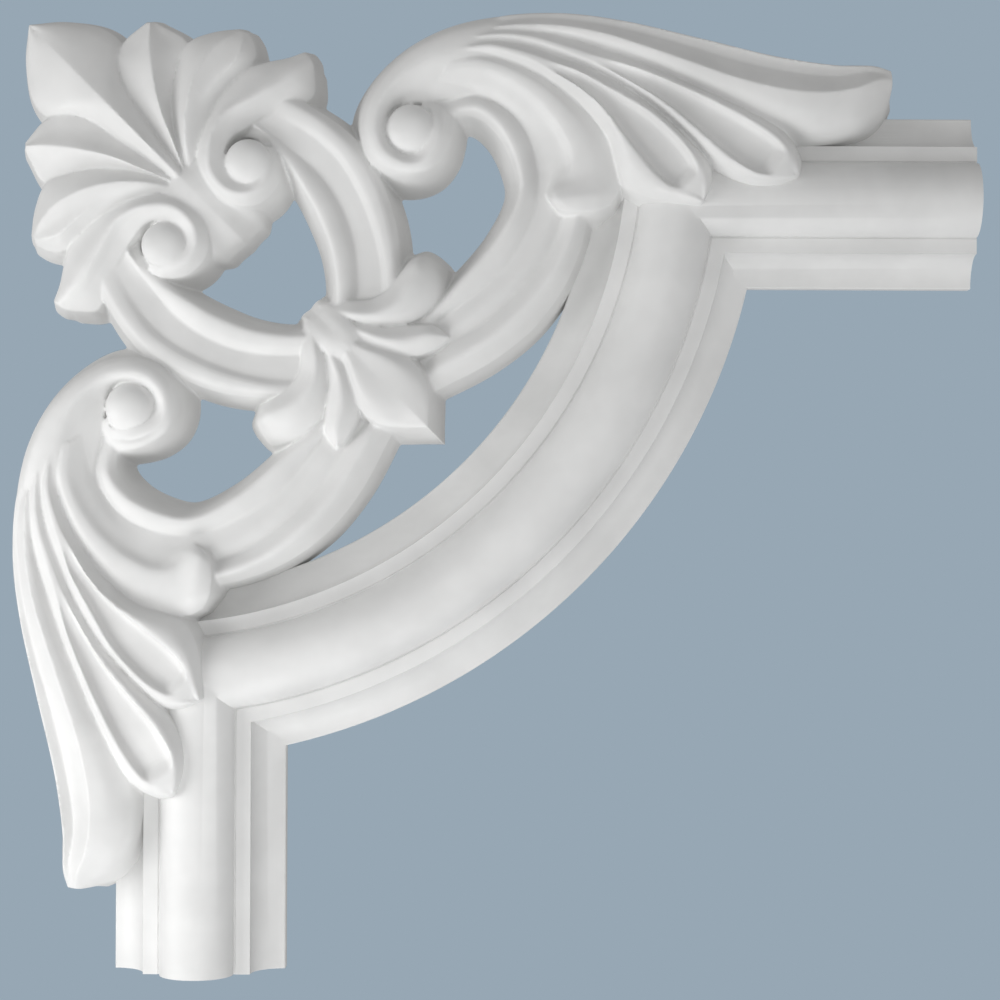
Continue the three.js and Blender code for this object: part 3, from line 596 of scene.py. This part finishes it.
@dataclass
class Volute(Ornament):
    """The volute that the leaf unrolls from, and the scroll band that leaves it under the tongue."""

    name: str = "volute"
    eye: Eye = field(default_factory=lambda: Eye((411, 129), radius=24.5, rim=26, top=31))

    def forms(self) -> list[np.ndarray]:
        """Return the bead that winds round the eye and the beaded scroll band."""
        curl = lobe(
            [
                [
                    (449, 104, 18.5), (455, 113, 19.3), (456, 124, 20), (453, 140, 21.5),
                    (447, 155, 23), (434, 170, 24), (415, 177, 24.5), (392, 175, 24.5),
                    (371, 161, 24.5), (361, 135, 24.5), (363, 107, 24.5), (381, 75.5, 25),
                    (413, 45.5, 25), (452, 26.5, 24.5), (500, 16.5, 22.5), (545, 15, 19),
                ],
                [
                    (446, 104, 20), (451, 113, 21), (453, 124, 22.5), (450, 140, 24.5), (443, 155, 26),
                    (432, 167, 27.5), (415, 172, 28), (393, 169, 28), (375, 156, 28), (366, 133, 28),
                    (368, 108, 28), (384, 79, 28.3), (412, 52, 28.5), (450, 34, 28), (500, 24, 25.5),
                    (545, 22, 20),
                ],
                [
                    (440, 102.5, 21.5), (447.5, 112, 22.5), (448, 124, 24), (445, 139, 26.5),
                    (438, 152, 28), (428, 162, 29), (413, 165.5, 29.5), (396, 161, 29.5),
                    (382, 149, 29.5), (374.5, 131, 29.5), (377, 108, 29.5), (393, 84, 29.5),
                    (419, 64, 29.5), (450, 54, 29.2), (500, 50, 26.5), (545, 52, 21),
                ],
                [
                    (431, 101, 23), (440, 107.5, 24.5), (442.5, 118, 27), (442, 130, 28.7),
                    (438.5, 141, 29.4), (432, 150, 29.6), (424, 156.5, 29.4), (412, 160, 29),
                    (399.5, 157, 28.8), (388, 149, 28.7), (381, 134, 28.7), (382.5, 113, 28.3),
                    (397, 92, 27.3), (420, 79, 27), (448, 72, 27), (490, 74, 25), (535, 84, 20),
                ],
                [
                    (421, 105, 24), (430, 109, 26.3), (434, 119, 28), (432.5, 130, 29),
                    (429.5, 139, 29.2), (425.5, 146, 28.9), (420, 151.5, 28), (411, 154.5, 26.4),
                    (401, 152.5, 26), (391.5, 146, 26), (386, 135, 26), (385.5, 122, 25.8),
                    (389.5, 111.5, 25), (400, 104, 24), (422, 102, 23.5), (445, 99, 23.3),
                    (475, 93, 23), (510, 97, 20),
                ],
            ],
            26,
        )
        scroll = lobe(
            [
                [
                    (430, 126, 20), (446, 119, 20.5), (474, 117, 20.5), (496, 134, 20.5),
                    (512, 165, 20.5), (516, 192, 20.5), (495, 236, 20.5), (455, 283, 20.5),
                    (428, 311, 20), (407, 330, 18.5),
                ],
                [
                    (430, 118, 21), (448, 112, 22), (476, 108, 24), (500, 126, 24.4), (517, 160, 24.4),
                    (521, 191, 24.4), (500, 235, 24.4), (459, 284, 24), (434, 312, 23), (413, 333, 20),
                ],
                [
                    (430, 110, 21.5), (448, 104, 22), (478, 101, 23.5), (507, 118, 23.6),
                    (526, 149, 23.6), (530, 191, 23.6), (510, 240, 23.5), (470, 288, 23.3),
                    (441, 316, 22.3), (420, 336, 20),
                ],
                [
                    (430, 104, 21.5), (448, 98, 21.5), (474, 94, 21.4), (500, 104, 21.4),
                    (520, 122, 21.3), (533, 146, 21.3), (538, 170, 21.3), (536, 203, 21.2),
                    (526, 229, 21.2), (506, 264, 21.2), (484, 287, 21.2), (462, 304, 21.2),
                    (442, 319, 20.7), (423, 339, 19),
                ],
                [
                    (452, 96, 21.5), (470, 88, 21.8), (505, 90, 22), (537, 110, 22.2), (553, 145, 22.2),
                    (554, 200, 22.2), (540, 246, 22.2), (510, 284, 22.2), (480, 308, 22.2),
                    (449, 331, 22), (424, 352, 20),
                ],
                [
                    (454, 92, 21.5), (473, 83, 21.5), (511, 84, 21.3), (545, 106, 21.3),
                    (565, 145, 21.3), (566, 200, 21.2), (554, 242, 21.2), (525, 283, 21.2),
                    (486, 321, 21.2), (452, 342, 21), (422, 366, 19),
                ],
                [
                    (456, 90, 21.5), (475, 80, 22), (514, 82, 23), (550, 104, 24), (573, 143, 24.4),
                    (578, 212, 24.4), (566, 251, 24.4), (548, 282, 24.4), (525, 309, 24.4),
                    (497, 334, 24.4), (462, 356, 24), (434, 371, 23.5), (414, 383, 20),
                ],
                [
                    (460, 84, 20), (478, 72, 20), (516, 76, 20), (556, 99, 19.5), (581, 142, 19),
                    (588, 213, 18.5), (570, 276, 18), (537, 325, 18), (493, 361, 18), (444, 387, 18),
                    (420, 399, 16),
                ],
            ],
            17,
            ridges=[3, 5],
        )
        return [curl, scroll]

    def eyes(self) -> list[Eye]:
        """Return the volute's domed eye."""
        return [self.eye]


@dataclass
class Ring(Ornament):
    """The beaded ring round the central opening."""

    name: str = "ring"

    def forms(self) -> list[np.ndarray]:
        """Return half of the ring."""
        return [
            lobe(
                [
                    [
                        (234, 140, 15.5), (250, 137, 16.5), (262, 142, 19), (283, 163, 19.5),
                        (301, 189, 20.5), (316, 219, 20.5), (328, 251, 20.5), (333, 287, 20.5),
                        (328, 322, 20.5),
                    ],
                    [
                        (236, 132, 15.5), (249, 130, 17), (263, 135.5, 20), (287, 160, 22.2),
                        (302, 184, 23.8), (319, 214, 24.2), (333, 252, 24.2), (338, 290, 24.2),
                        (337, 325, 23.5),
                    ],
                    [
                        (245, 123, 18.5), (258, 128, 20.5), (293, 156, 21.8), (316, 182, 23.2),
                        (336, 218, 23.6), (346, 252, 23.6), (348, 291, 23.6), (346, 325, 22.5),
                    ],
                    [
                        (241, 119, 17.5), (253, 123, 19.5), (288, 147, 20.7), (322, 178, 21.2),
                        (344, 213, 21.3), (355, 250, 21.3), (357, 292, 21.3), (354, 325, 21),
                    ],
                    [
                        (239, 112, 15), (252, 115, 18), (293, 138, 20.7), (328, 166, 21.8),
                        (353, 205, 22), (367, 248, 22), (370, 292, 22), (362, 328, 21.5),
                    ],
                    [
                        (240, 106, 15), (254, 107, 18), (297, 127, 21), (333, 155, 22.2),
                        (358, 194, 22.4), (377, 245, 22.4), (382, 290, 22.4), (374, 330, 22),
                    ],
                    [
                        (243, 100, 15), (257, 101, 18), (298, 119, 21.8), (336, 146, 24),
                        (362, 184, 24.3), (381, 238, 24.3), (388, 288, 24.3), (380, 330, 24),
                    ],
                    [
                        (248, 92, 15), (262, 93, 18), (301, 109, 21.8), (335, 132, 23.8),
                        (366, 166, 24.2), (385, 211, 24.2), (394, 262, 24.2), (393, 295, 24.2),
                        (386, 332, 24),
                    ],
                    [
                        (256, 78, 12), (268, 82, 15), (302, 101, 19), (337, 123, 21), (366, 151, 21),
                        (385, 189, 21), (397, 228, 21), (400, 281, 21), (393, 333, 21),
                    ],
                ],
                13,
                ridges=[3, 5],
            )
        ]


@dataclass
class CornerPalmette(Ornament):
    """The palmette on the outer corner: a middle lobe, three side lobes a half, and its heart."""

    name: str = "corner_palmette"
    steps: int = 12
    heart_steps: int = 10
    flank_shares: tuple[float, float] = (0.45, 0.8)  # where the middle lobe's slope swells
    flank_swell: float = 1.2  # mm that it swells there
    eye: Eye = field(default_factory=lambda: Eye((248, 161.5), radius=22.5, rim=25, top=28.9))

    def forms(self) -> list[np.ndarray]:
        """Return the middle lobe, the side lobes and the heart at their root."""
        spine = axis_rail(
            [(184, 23), (172, 26), (150, 28), (110, 26.5), (70, 22), (27, 15)],
            self.steps,
        )
        flank = rail(
            [
                (186, 176, 22), (166, 150, 22.5), (143, 115, 19.6), (123, 83, 17.2), (118, 60, 16),
                (121, 43, 13.8), (104, 29, 13), (66, 22, 13), (29, 25, 14.5),
            ],
            self.steps,
        )
        slopes = [
            between(spine, flank, share, lambda along: np.full_like(along, self.flank_swell))
            for share in self.flank_shares
        ]
        first = ridged(
            [
                [
                    (184, 174, 22), (166, 150, 22.5), (143, 115, 20.5), (124, 83, 18.5), (119, 60, 17),
                    (124, 42, 15), (147, 22, 15),
                ],
                [
                    (186, 174, 23), (175, 146, 26.3), (160, 108, 26), (152, 70, 23), (149, 42, 19.5),
                    (150, 22, 16.5),
                ],
                [
                    (188, 174, 22), (177, 150, 22.5), (172, 118, 20.5), (172, 86, 18.5), (178, 59, 17),
                    (187, 42, 15), (154, 21.5, 15),
                ],
            ],
            sink=0.7,
            quickness=1.6,
        )
        second = lobe(
            [
                [
                    (188, 174, 22), (178, 150, 22.5), (173, 118, 21), (174, 86, 19), (181, 58, 17.5),
                    (189, 42, 16), (215, 32, 15), (240, 29, 15.5),
                ],
                [
                    (190, 173, 23), (184, 132, 26.8), (187, 100, 26.8), (195, 74, 25), (210, 50, 22.5),
                    (226, 37, 20), (240, 30.5, 17),
                ],
                [
                    (191, 173, 23), (188, 132, 26.3), (195, 100, 25.9), (207, 76, 24), (224, 54, 21.8),
                    (235, 40, 19.8), (242, 31, 17),
                ],
                [
                    (192, 173, 23), (193, 132, 25.3), (203, 102, 24.4), (219, 78, 23.7),
                    (238, 56, 22.6), (243, 42, 20.5), (244, 32, 17.5),
                ],
                [
                    (194, 173, 22), (199, 150, 22.8), (206, 126, 22), (217, 103, 20.5), (232, 84, 19),
                    (248, 68, 17.5), (256, 58, 16), (254, 43, 15.5), (248, 33, 16),
                ],
            ],
            ridges=[1, 3],
        )
        third = lobe(
            [
                [
                    (279, 148, 18), (281, 164, 21), (279, 182, 22), (268, 198, 23), (252, 206, 23.5),
                    (236, 205, 24), (219, 198, 24), (205, 184, 24.2), (198, 167, 24), (198, 148, 23.5),
                    (203, 128, 22.7), (216, 104, 21), (232, 84, 19.5), (250, 68, 18), (268, 62, 17),
                    (288, 58, 16.5), (305, 52, 16),
                ],
                [
                    (273, 147, 21), (274, 160, 24.5), (271, 174, 26), (262, 186, 27), (246, 193, 27.7),
                    (229, 191, 27.9), (215, 180, 27.9), (207.5, 165, 27.9), (207, 148, 27.9),
                    (212, 129, 27.4), (225, 111, 26.3), (250, 97, 25), (275, 83, 23.5), (294, 68, 21),
                    (308, 55, 17),
                ],
                [
                    (266, 146, 22), (269, 160, 25.8), (266, 172, 26.9), (258, 183, 27.2),
                    (246, 188.5, 27.1), (233, 186.5, 27), (221.5, 177, 27), (214.5, 163, 27),
                    (214, 148, 27), (218, 132, 26.3), (232, 118, 24.6), (256, 108, 22.5),
                    (279, 95, 21.5), (299, 82, 20), (313, 63, 17),
                ],
                [
                    (259, 146, 22.5), (263, 160, 26), (260, 171, 26.6), (253, 179, 26.2),
                    (244, 182.5, 25.5), (235, 180, 25.3), (227.5, 171, 25.3), (223.5, 160, 25.3),
                    (224, 149.5, 24.9), (229, 140, 24), (239, 132, 22.6), (256, 121, 20.6),
                    (280, 108, 19.5), (302, 103, 18.5), (314, 96, 17), (315, 72, 16),
                ],
            ],
            20,
        )
        heart = relief(
            [
                axis_rail(
                    [
                        (170, 22), (179, 25.3), (190, 26), (202, 25.3), (216, 23.8), (230, 20.8),
                        (240, 16.5), (246, 11),
                    ],
                    self.heart_steps,
                ),
                rail(
                    [
                        (183, 161, 21.5), (193, 171, 24.8), (204, 182, 25.3), (216, 194, 24.5),
                        (231, 207, 22.4), (243, 217, 19), (252, 224, 15.5), (257, 233, 11),
                    ],
                    self.heart_steps,
                ),
                rail(
                    [
                        (189, 155, 21), (199, 164, 24), (212, 180, 24.4), (227, 194, 23.5),
                        (243, 206, 21.4), (256, 214, 17.5), (262, 221, 13), (265, 227, 9.5),
                    ],
                    self.heart_steps,
                ),
                rail(
                    [
                        (197, 151, 20), (208, 161, 21.5), (228, 177, 21.8), (248, 190, 20.2),
                        (260, 201, 17), (266, 208, 13), (268, 214, 9),
                    ],
                    self.heart_steps,
                ),
            ]
        )
        return [relief([spine, *slopes, flank], tip_way=0.0), first, second, third, heart]

    def eyes(self) -> list[Eye]:
        """Return the small ball that the third lobe curls round."""
        return [self.eye]


@dataclass
class SmallPalmette(Ornament):
    """The small palmette on the ring: a middle lobe, a narrow side lobe and a curled one a half."""

    name: str = "small_palmette"
    steps: int = 10
    root_steps: int = 6

    def forms(self) -> list[np.ndarray]:
        """Return the middle lobe, the side lobes and their common root."""
        middle = relief(
            [
                axis_rail(
                    [(322, 23), (345, 28.2), (376, 29.6), (400, 29.8), (414, 29.3), (428, 27.5)],
                    self.steps,
                ),
                rail(
                    [
                        (332, 327, 24.5), (357, 345, 28.9), (386, 359, 29.8), (404, 374, 29.7),
                        (413, 391, 29.3), (420, 408, 28.6), (428, 426, 27.4),
                    ],
                    self.steps,
                ),
                rail(
                    [
                        (334, 327.5, 24), (361, 343.5, 27.8), (390, 355, 28.6), (410, 368, 28.6),
                        (421, 385, 28.4), (425, 404, 28), (428, 425, 27.4),
                    ],
                    self.steps,
                ),
                rail(
                    [
                        (336, 328, 23.5), (363, 341, 26.3), (391, 352, 26.9), (413, 362, 26.9),
                        (425, 378, 26.9), (428.5, 396, 27), (428, 424, 27.3),
                    ],
                    self.steps,
                ),
            ],
            reach=math.sqrt(2),  # its tip is a square corner
            tip_way=0.0,
        )
        narrow = lobe(
            [
                [
                    (334, 318, 24.5), (355, 322, 25.5), (383, 328, 26), (410, 326, 25.8),
                    (434, 326, 25), (448, 335, 23.5),
                ],
                [
                    (336, 320.5, 26), (360, 331, 28), (380, 338, 29), (404, 340, 29), (430, 334.5, 28),
                    (448, 336.5, 25),
                ],
                [
                    (337, 324, 25), (362, 341, 26.2), (390, 352, 26.7), (415, 356, 25.8),
                    (436, 348, 25), (449, 338.5, 23.5),
                ],
            ],
            self.steps,
        )
        curled = lobe(
            [
                [
                    (318, 303, 19), (348, 301, 24), (372, 299, 25), (391, 287, 25), (403, 270, 24),
                    (411, 259, 20),
                ],
                [
                    (319, 305.5, 21), (350, 313, 28), (378, 312, 29.2), (399, 300, 29.5),
                    (412, 279, 29), (418, 264, 27), (422, 256, 21),
                ],
                [
                    (320, 308, 21), (350, 317.5, 27.2), (384, 318.5, 28.2), (410, 307, 28),
                    (427, 287, 27.2), (432, 270, 25), (434, 260, 18.5),
                ],
                [
                    (321, 310, 20), (350, 320.5, 25.5), (387, 325, 25.2), (418, 319, 24.5),
                    (437, 301, 22.5), (446, 285, 19.5), (448, 270, 14.5),
                ],
            ],
            self.steps,
        )
        root = relief(
            [
                axis_rail(
                    [(310, 17), (320, 24), (332, 28.2), (345, 29.2), (358, 27.4)],
                    self.root_steps,
                ),
                rail(
                    [
                        (314, 304, 17), (325, 312, 24), (338, 323, 28), (350, 336, 28.8),
                        (361, 348, 27.2),
                    ],
                    self.root_steps,
                ),
                rail(
                    [
                        (318, 300, 17), (330, 306, 23.5), (344, 316, 27), (356, 327, 27.6),
                        (366, 338, 26),
                    ],
                    self.root_steps,
                ),
            ]
        )
        return [middle, narrow, curled, root]


@dataclass
class Moulding:
    """The torus-and-cove moulding, turned round an inward quarter circle."""

    run_length: float = 301.0  # mm, as the sizes below; from the outer corner to each cut end
    width: float = 60.0
    edge_out: float = 6.0
    fillet_out: float = 17.0
    fillet_width: float = 5.0
    torus_width: float = 25.8
    torus_out: float = 28.0
    quirk_width: float = 0.4
    quirk_depth: float = 0.35
    arc_centre: float = 12.0
    arc_radius: float = 185.6
    arc_steps: int = 120
    cove_steps: int = 12
    torus_steps: int = 32
    edge_round: float = 0.35  # mm that a cast edge is rounded by

    @property
    def half_width(self) -> float:
        """Half of the profile's width."""
        return self.width / 2

    def half_profile(self) -> list[tuple[float, float]]:
        """Return half of the profile, from its outer edge to the crest, as (offset, out)."""
        half = self.half_width
        quirk_out = self.fillet_out - self.quirk_depth
        cove = half - self.fillet_width - self.quirk_width - self.torus_width / 2
        rise = self.fillet_out - self.edge_out
        points = [(-half, -UNDER), (-half, self.edge_out - self.edge_round)]
        for turn in np.linspace(0, math.pi / 2, self.cove_steps + 1):
            rounded = self.edge_round * math.cos(turn)
            swept = (cove - self.edge_round) * math.sin(turn)
            points.append((-half + rounded + swept, self.fillet_out - rise * math.cos(turn)))
        fillet_end = -half + cove + self.fillet_width
        points += [
            (fillet_end - self.edge_round, self.fillet_out),
            (fillet_end, self.fillet_out - self.edge_round),
            (fillet_end, quirk_out),
        ]
        crest = self.torus_out - quirk_out
        for turn in np.linspace(0, math.pi / 2, self.torus_steps // 2 + 1):
            offset = -self.torus_width / 2 * math.cos(turn)
            points.append((offset, quirk_out + crest * math.sin(turn)))
        return points

    def path(self, offset: float) -> np.ndarray:
        """Return one line of the profile: straight, on its own arc, and straight again."""
        radius = self.arc_radius + offset
        down = self.half_width + offset
        start = math.asin((down - self.arc_centre) / radius)
        turns = np.linspace(start, math.pi / 2 - start, self.arc_steps + 1)
        arc = self.arc_centre + radius * np.stack([np.cos(turns), np.sin(turns)], 1)
        return np.concatenate([[[self.run_length, down]], arc, [[down, self.run_length]]])

    def build(self) -> bpy.types.Object:
        """Make the whole run as one closed mesh."""
        half = self.half_profile()
        profile = half + [(-offset, out) for offset, out in reversed(half[:-1])]
        lines = []
        for offset, out in profile:
            path = self.path(offset)
            lines.append(np.concatenate([path, np.full((len(path), 1), out)], axis=1))
        return closed_sheet("moulding_run", np.stack(lines, axis=1))


def linear(hex_colour: str) -> tuple[float, float, float, float]:
    """Turn an sRGB hex colour into the linear colour that a shader takes."""
    parts = [int(hex_colour[i:i + 2], 16) / 255 for i in (1, 3, 5)]
    curve = [part / 12.92 if part <= 0.04045 else ((part + 0.055) / 1.055) ** 2.4 for part in parts]
    return (curve[0], curve[1], curve[2], 1.0)


def add_node(tree: bpy.types.NodeTree, kind: str, **inputs: object) -> bpy.types.Node:
    """Add one shader node.

    Args:
        tree: the material's node tree.
        kind: the node's type name, without its ShaderNode prefix.
        inputs: socket values or (node, socket name) links, keyed by the socket's name with
            spaces as underscores; a name that is a property of the node is set on the node.

    Returns:
        The node.
    """
    node = tree.nodes.new(f"ShaderNode{kind}")
    for name, value in inputs.items():
        if hasattr(node, name):
            setattr(node, name, value)
            continue
        socket = node.inputs[name.replace("_", " ")]
        if isinstance(value, tuple) and isinstance(value[0], bpy.types.Node):
            tree.links.new(value[0].outputs[value[1]], socket)
        else:
            socket.default_value = value
    return node


@dataclass(frozen=True)
class PrimedFoam:
    """White-primed hard foam: chalky, nearly even, with the faint grain of the primer."""

    colour: str = "#E9E9E8"
    shade: str = "#E0E0DF"
    turns: tuple[float, float] = (0.35, 0.65)  # where on the noise the shade ends and colour begins
    roughness: float = 0.5
    mottle: float = 26.0  # mm across one patch of the primer
    grain: float = 0.8  # mm across one grain
    grain_height: float = 0.012  # mm
    grain_strength: float = 0.35

    def dress(self, piece: bpy.types.Object) -> None:
        """Give a piece this finish."""
        material = bpy.data.materials.new(SLOT)
        material.use_nodes = True
        tree = material.node_tree
        shader = tree.nodes["Principled BSDF"]
        # The eye sees plain white primer: slightly uneven in tone, dull, with a fine tooth to it.
        place = add_node(tree, "TexCoord")
        patches = add_node(
            tree, "TexNoise", Vector=(place, "Object"),
            Scale=1 / (self.mottle * MM), Detail=3.0, Roughness=0.55,
        )
        tone = add_node(tree, "ValToRGB", Fac=(patches, "Fac"))
        stops = zip(tone.color_ramp.elements, self.turns, (self.shade, self.colour))
        for stop, position, colour in stops:
            stop.position = position
            stop.color = linear(colour)
        tree.links.new(tone.outputs["Color"], shader.inputs["Base Color"])
        tooth = add_node(
            tree, "TexNoise", Vector=(place, "Object"),
            Scale=1 / (self.grain * MM), Detail=2.0, Roughness=0.6,
        )
        bump = add_node(
            tree, "Bump", Height=(tooth, "Fac"),
            Strength=self.grain_strength, Distance=self.grain_height * MM,
        )
        tree.links.new(bump.outputs["Normal"], shader.inputs["Normal"])
        shader.inputs["Roughness"].default_value = self.roughness
        piece.data.materials.clear()
        piece.data.materials.append(material)


@dataclass
class Casting:
    """The whole casting: the ornament fused with the moulding, flat at the back."""

    moulding: Moulding = field(default_factory=Moulding)
    ornaments: tuple[Ornament, ...] = field(
        default_factory=lambda: (Leaf(), Volute(), Ring(), CornerPalmette(), SmallPalmette())
    )
    finish: PrimedFoam = field(default_factory=PrimedFoam)
    crease: float = math.radians(38)  # edges sharper than this stay crisp
    slab: float = 0.8  # m across the slab that the back is cut flat with

    def carve(self) -> bpy.types.Object:
        """Fuse all carved forms into one softened mesh."""
        pieces = [piece for ornament in self.ornaments for piece in ornament.build()]
        carving = joined(pieces, "ornament")
        apply_modifier(carving, "REMESH", mode="VOXEL", voxel_size=FINENESS.voxel * MM)
        LOG.info("fused %d polygons", len(carving.data.polygons))
        apply_modifier(carving, "SMOOTH", factor=0.5, iterations=FINENESS.softening)
        triangles = 2 * len(carving.data.polygons)
        apply_modifier(carving, "DECIMATE", ratio=min(1.0, FINENESS.faces / triangles))
        LOG.info("kept %d polygons", len(carving.data.polygons))
        return carving

    def combine(self, piece: bpy.types.Object, other: bpy.types.Object, operation: str) -> None:
        """Add another mesh to a piece or cut it away, and drop the other mesh."""
        apply_modifier(piece, "BOOLEAN", operation=operation, object=other, solver="MANIFOLD")
        bpy.data.objects.remove(other)

    def build(self) -> bpy.types.Object:
        """Make the casting as one closed mesh."""
        casting = self.moulding.build()
        self.combine(casting, self.carve(), "UNION")
        deselect_all()
        bpy.ops.mesh.primitive_cube_add(size=self.slab, location=(0, self.slab / 2, 0))
        self.combine(casting, bpy.context.object, "DIFFERENCE")
        casting.name = "primed_casting"
        make_active(casting)
        bpy.ops.object.transform_apply(location=True, rotation=True, scale=True)
        bpy.ops.object.shade_smooth_by_angle(angle=self.crease)
        LOG.info("casting has %d polygons", len(casting.data.polygons))
        return casting

    def dress(self, piece: bpy.types.Object) -> None:
        """Paint the casting and set it on its node."""
        self.finish.dress(piece)
        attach(piece, "root")
        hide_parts(NODE)


@dataclass(frozen=True)
class Softbox:
    """A square light that faces the casting's middle and doesn't show itself."""

    name: str
    clock: float  # degrees round the view's axis, from the right, upwards
    tilt: float  # degrees from the view's axis
    distance: float  # m
    size: float  # m
    watts: float

    def build(self, middle: Vector) -> None:
        """Hang the light round a point."""
        clock, tilt = math.radians(self.clock), math.radians(self.tilt)
        out, aside = math.cos(tilt), math.sin(tilt)
        away = Vector((math.cos(clock) * aside, -out, math.sin(clock) * aside))
        deselect_all()
        bpy.ops.object.light_add(type="AREA", location=middle + away * self.distance)
        lamp = bpy.context.object
        lamp.name = self.name
        lamp.data.energy = self.watts
        lamp.data.size = self.size
        lamp.rotation_euler = (-away).to_track_quat("-Z", "Y").to_euler()
        lamp.visible_camera = False


@dataclass
class Studio:
    """The camera, the lights and the pale surroundings of the reference picture."""

    lens: float = 82.92  # mm, on a sensor 36 mm wide
    sensor: float = 36.0
    softboxes: tuple[Softbox, ...] = (
        Softbox("light_from_left", clock=190, tilt=60, distance=0.6, size=0.3, watts=1.4),
        Softbox("light_from_below", clock=260, tilt=60, distance=0.6, size=0.3, watts=1.27),
        Softbox("light_from_right", clock=330, tilt=72, distance=1.3, size=0.6, watts=2.5),
        Softbox("light_from_front", clock=180, tilt=0, distance=1.4, size=0.8, watts=2.5),
    )
    sky: str = "#FFFFFF"
    sky_strength: float = 0.35
    background: str = "#97A7B4"
    floor_size: float = 2.0  # m
    floor_height: float = -0.75  # m
    floor_colour: str = "#E4E6E8"
    floor_roughness: float = 0.8

    def build_floor(self) -> None:
        """Lay the pale floor, well below the casting."""
        deselect_all()
        bpy.ops.mesh.primitive_grid_add(
            x_subdivisions=4, y_subdivisions=4,
            size=self.floor_size, location=(0, 0, self.floor_height),
        )
        floor = bpy.context.object
        floor.name = "floor"
        bpy.ops.object.transform_apply(location=True, rotation=True, scale=True)
        board = bpy.data.materials.new("matte_painted_board")
        board.use_nodes = True
        shader = board.node_tree.nodes["Principled BSDF"]
        shader.inputs["Base Color"].default_value = linear(self.floor_colour)
        shader.inputs["Roughness"].default_value = self.floor_roughness
        floor.data.materials.append(board)

    def build_world(self) -> None:
        """Light evenly from all round, and show a plain background."""
        world = bpy.context.scene.world or bpy.data.worlds.new("world")
        bpy.context.scene.world = world
        world.use_nodes = True
        tree = world.node_tree
        tree.nodes.clear()
        ray = add_node(tree, "LightPath")
        sky = add_node(tree, "Background", Color=linear(self.sky), Strength=self.sky_strength)
        plain = add_node(tree, "Background", Color=linear(self.background), Strength=1.0)
        mixed = add_node(tree, "MixShader", Fac=(ray, "Is Camera Ray"))
        tree.links.new(sky.outputs["Background"], mixed.inputs[1])
        tree.links.new(plain.outputs["Background"], mixed.inputs[2])
        add_node(tree, "OutputWorld", Surface=(mixed, "Shader"))

    def build(self) -> None:
        """Add the camera, the lights, the world and the floor."""
        middle = Vector((DRAWING.middle_mm * MM, 0, -DRAWING.middle_mm * MM))
        deselect_all()
        bpy.ops.object.camera_add(
            location=middle + Vector((0, -DRAWING.distance * MM, 0)),
            rotation=(math.pi / 2, -DRAWING.turn, 0),
        )
        camera = bpy.context.object
        camera.data.sensor_width = self.sensor
        camera.data.lens = self.lens
        bpy.context.scene.camera = camera
        bpy.context.scene.view_settings.view_transform = "Standard"
        for softbox in self.softboxes:
            softbox.build(middle)
        self.build_world()
        self.build_floor()


def main() -> None:
    """Build the casting and its studio."""
    logging.basicConfig(level=logging.INFO, format="%(name)s: %(message)s")
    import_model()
    casting = Casting()
    casting.dress(casting.build())
    Studio().build()


if __name__ == "__main__":
    main()
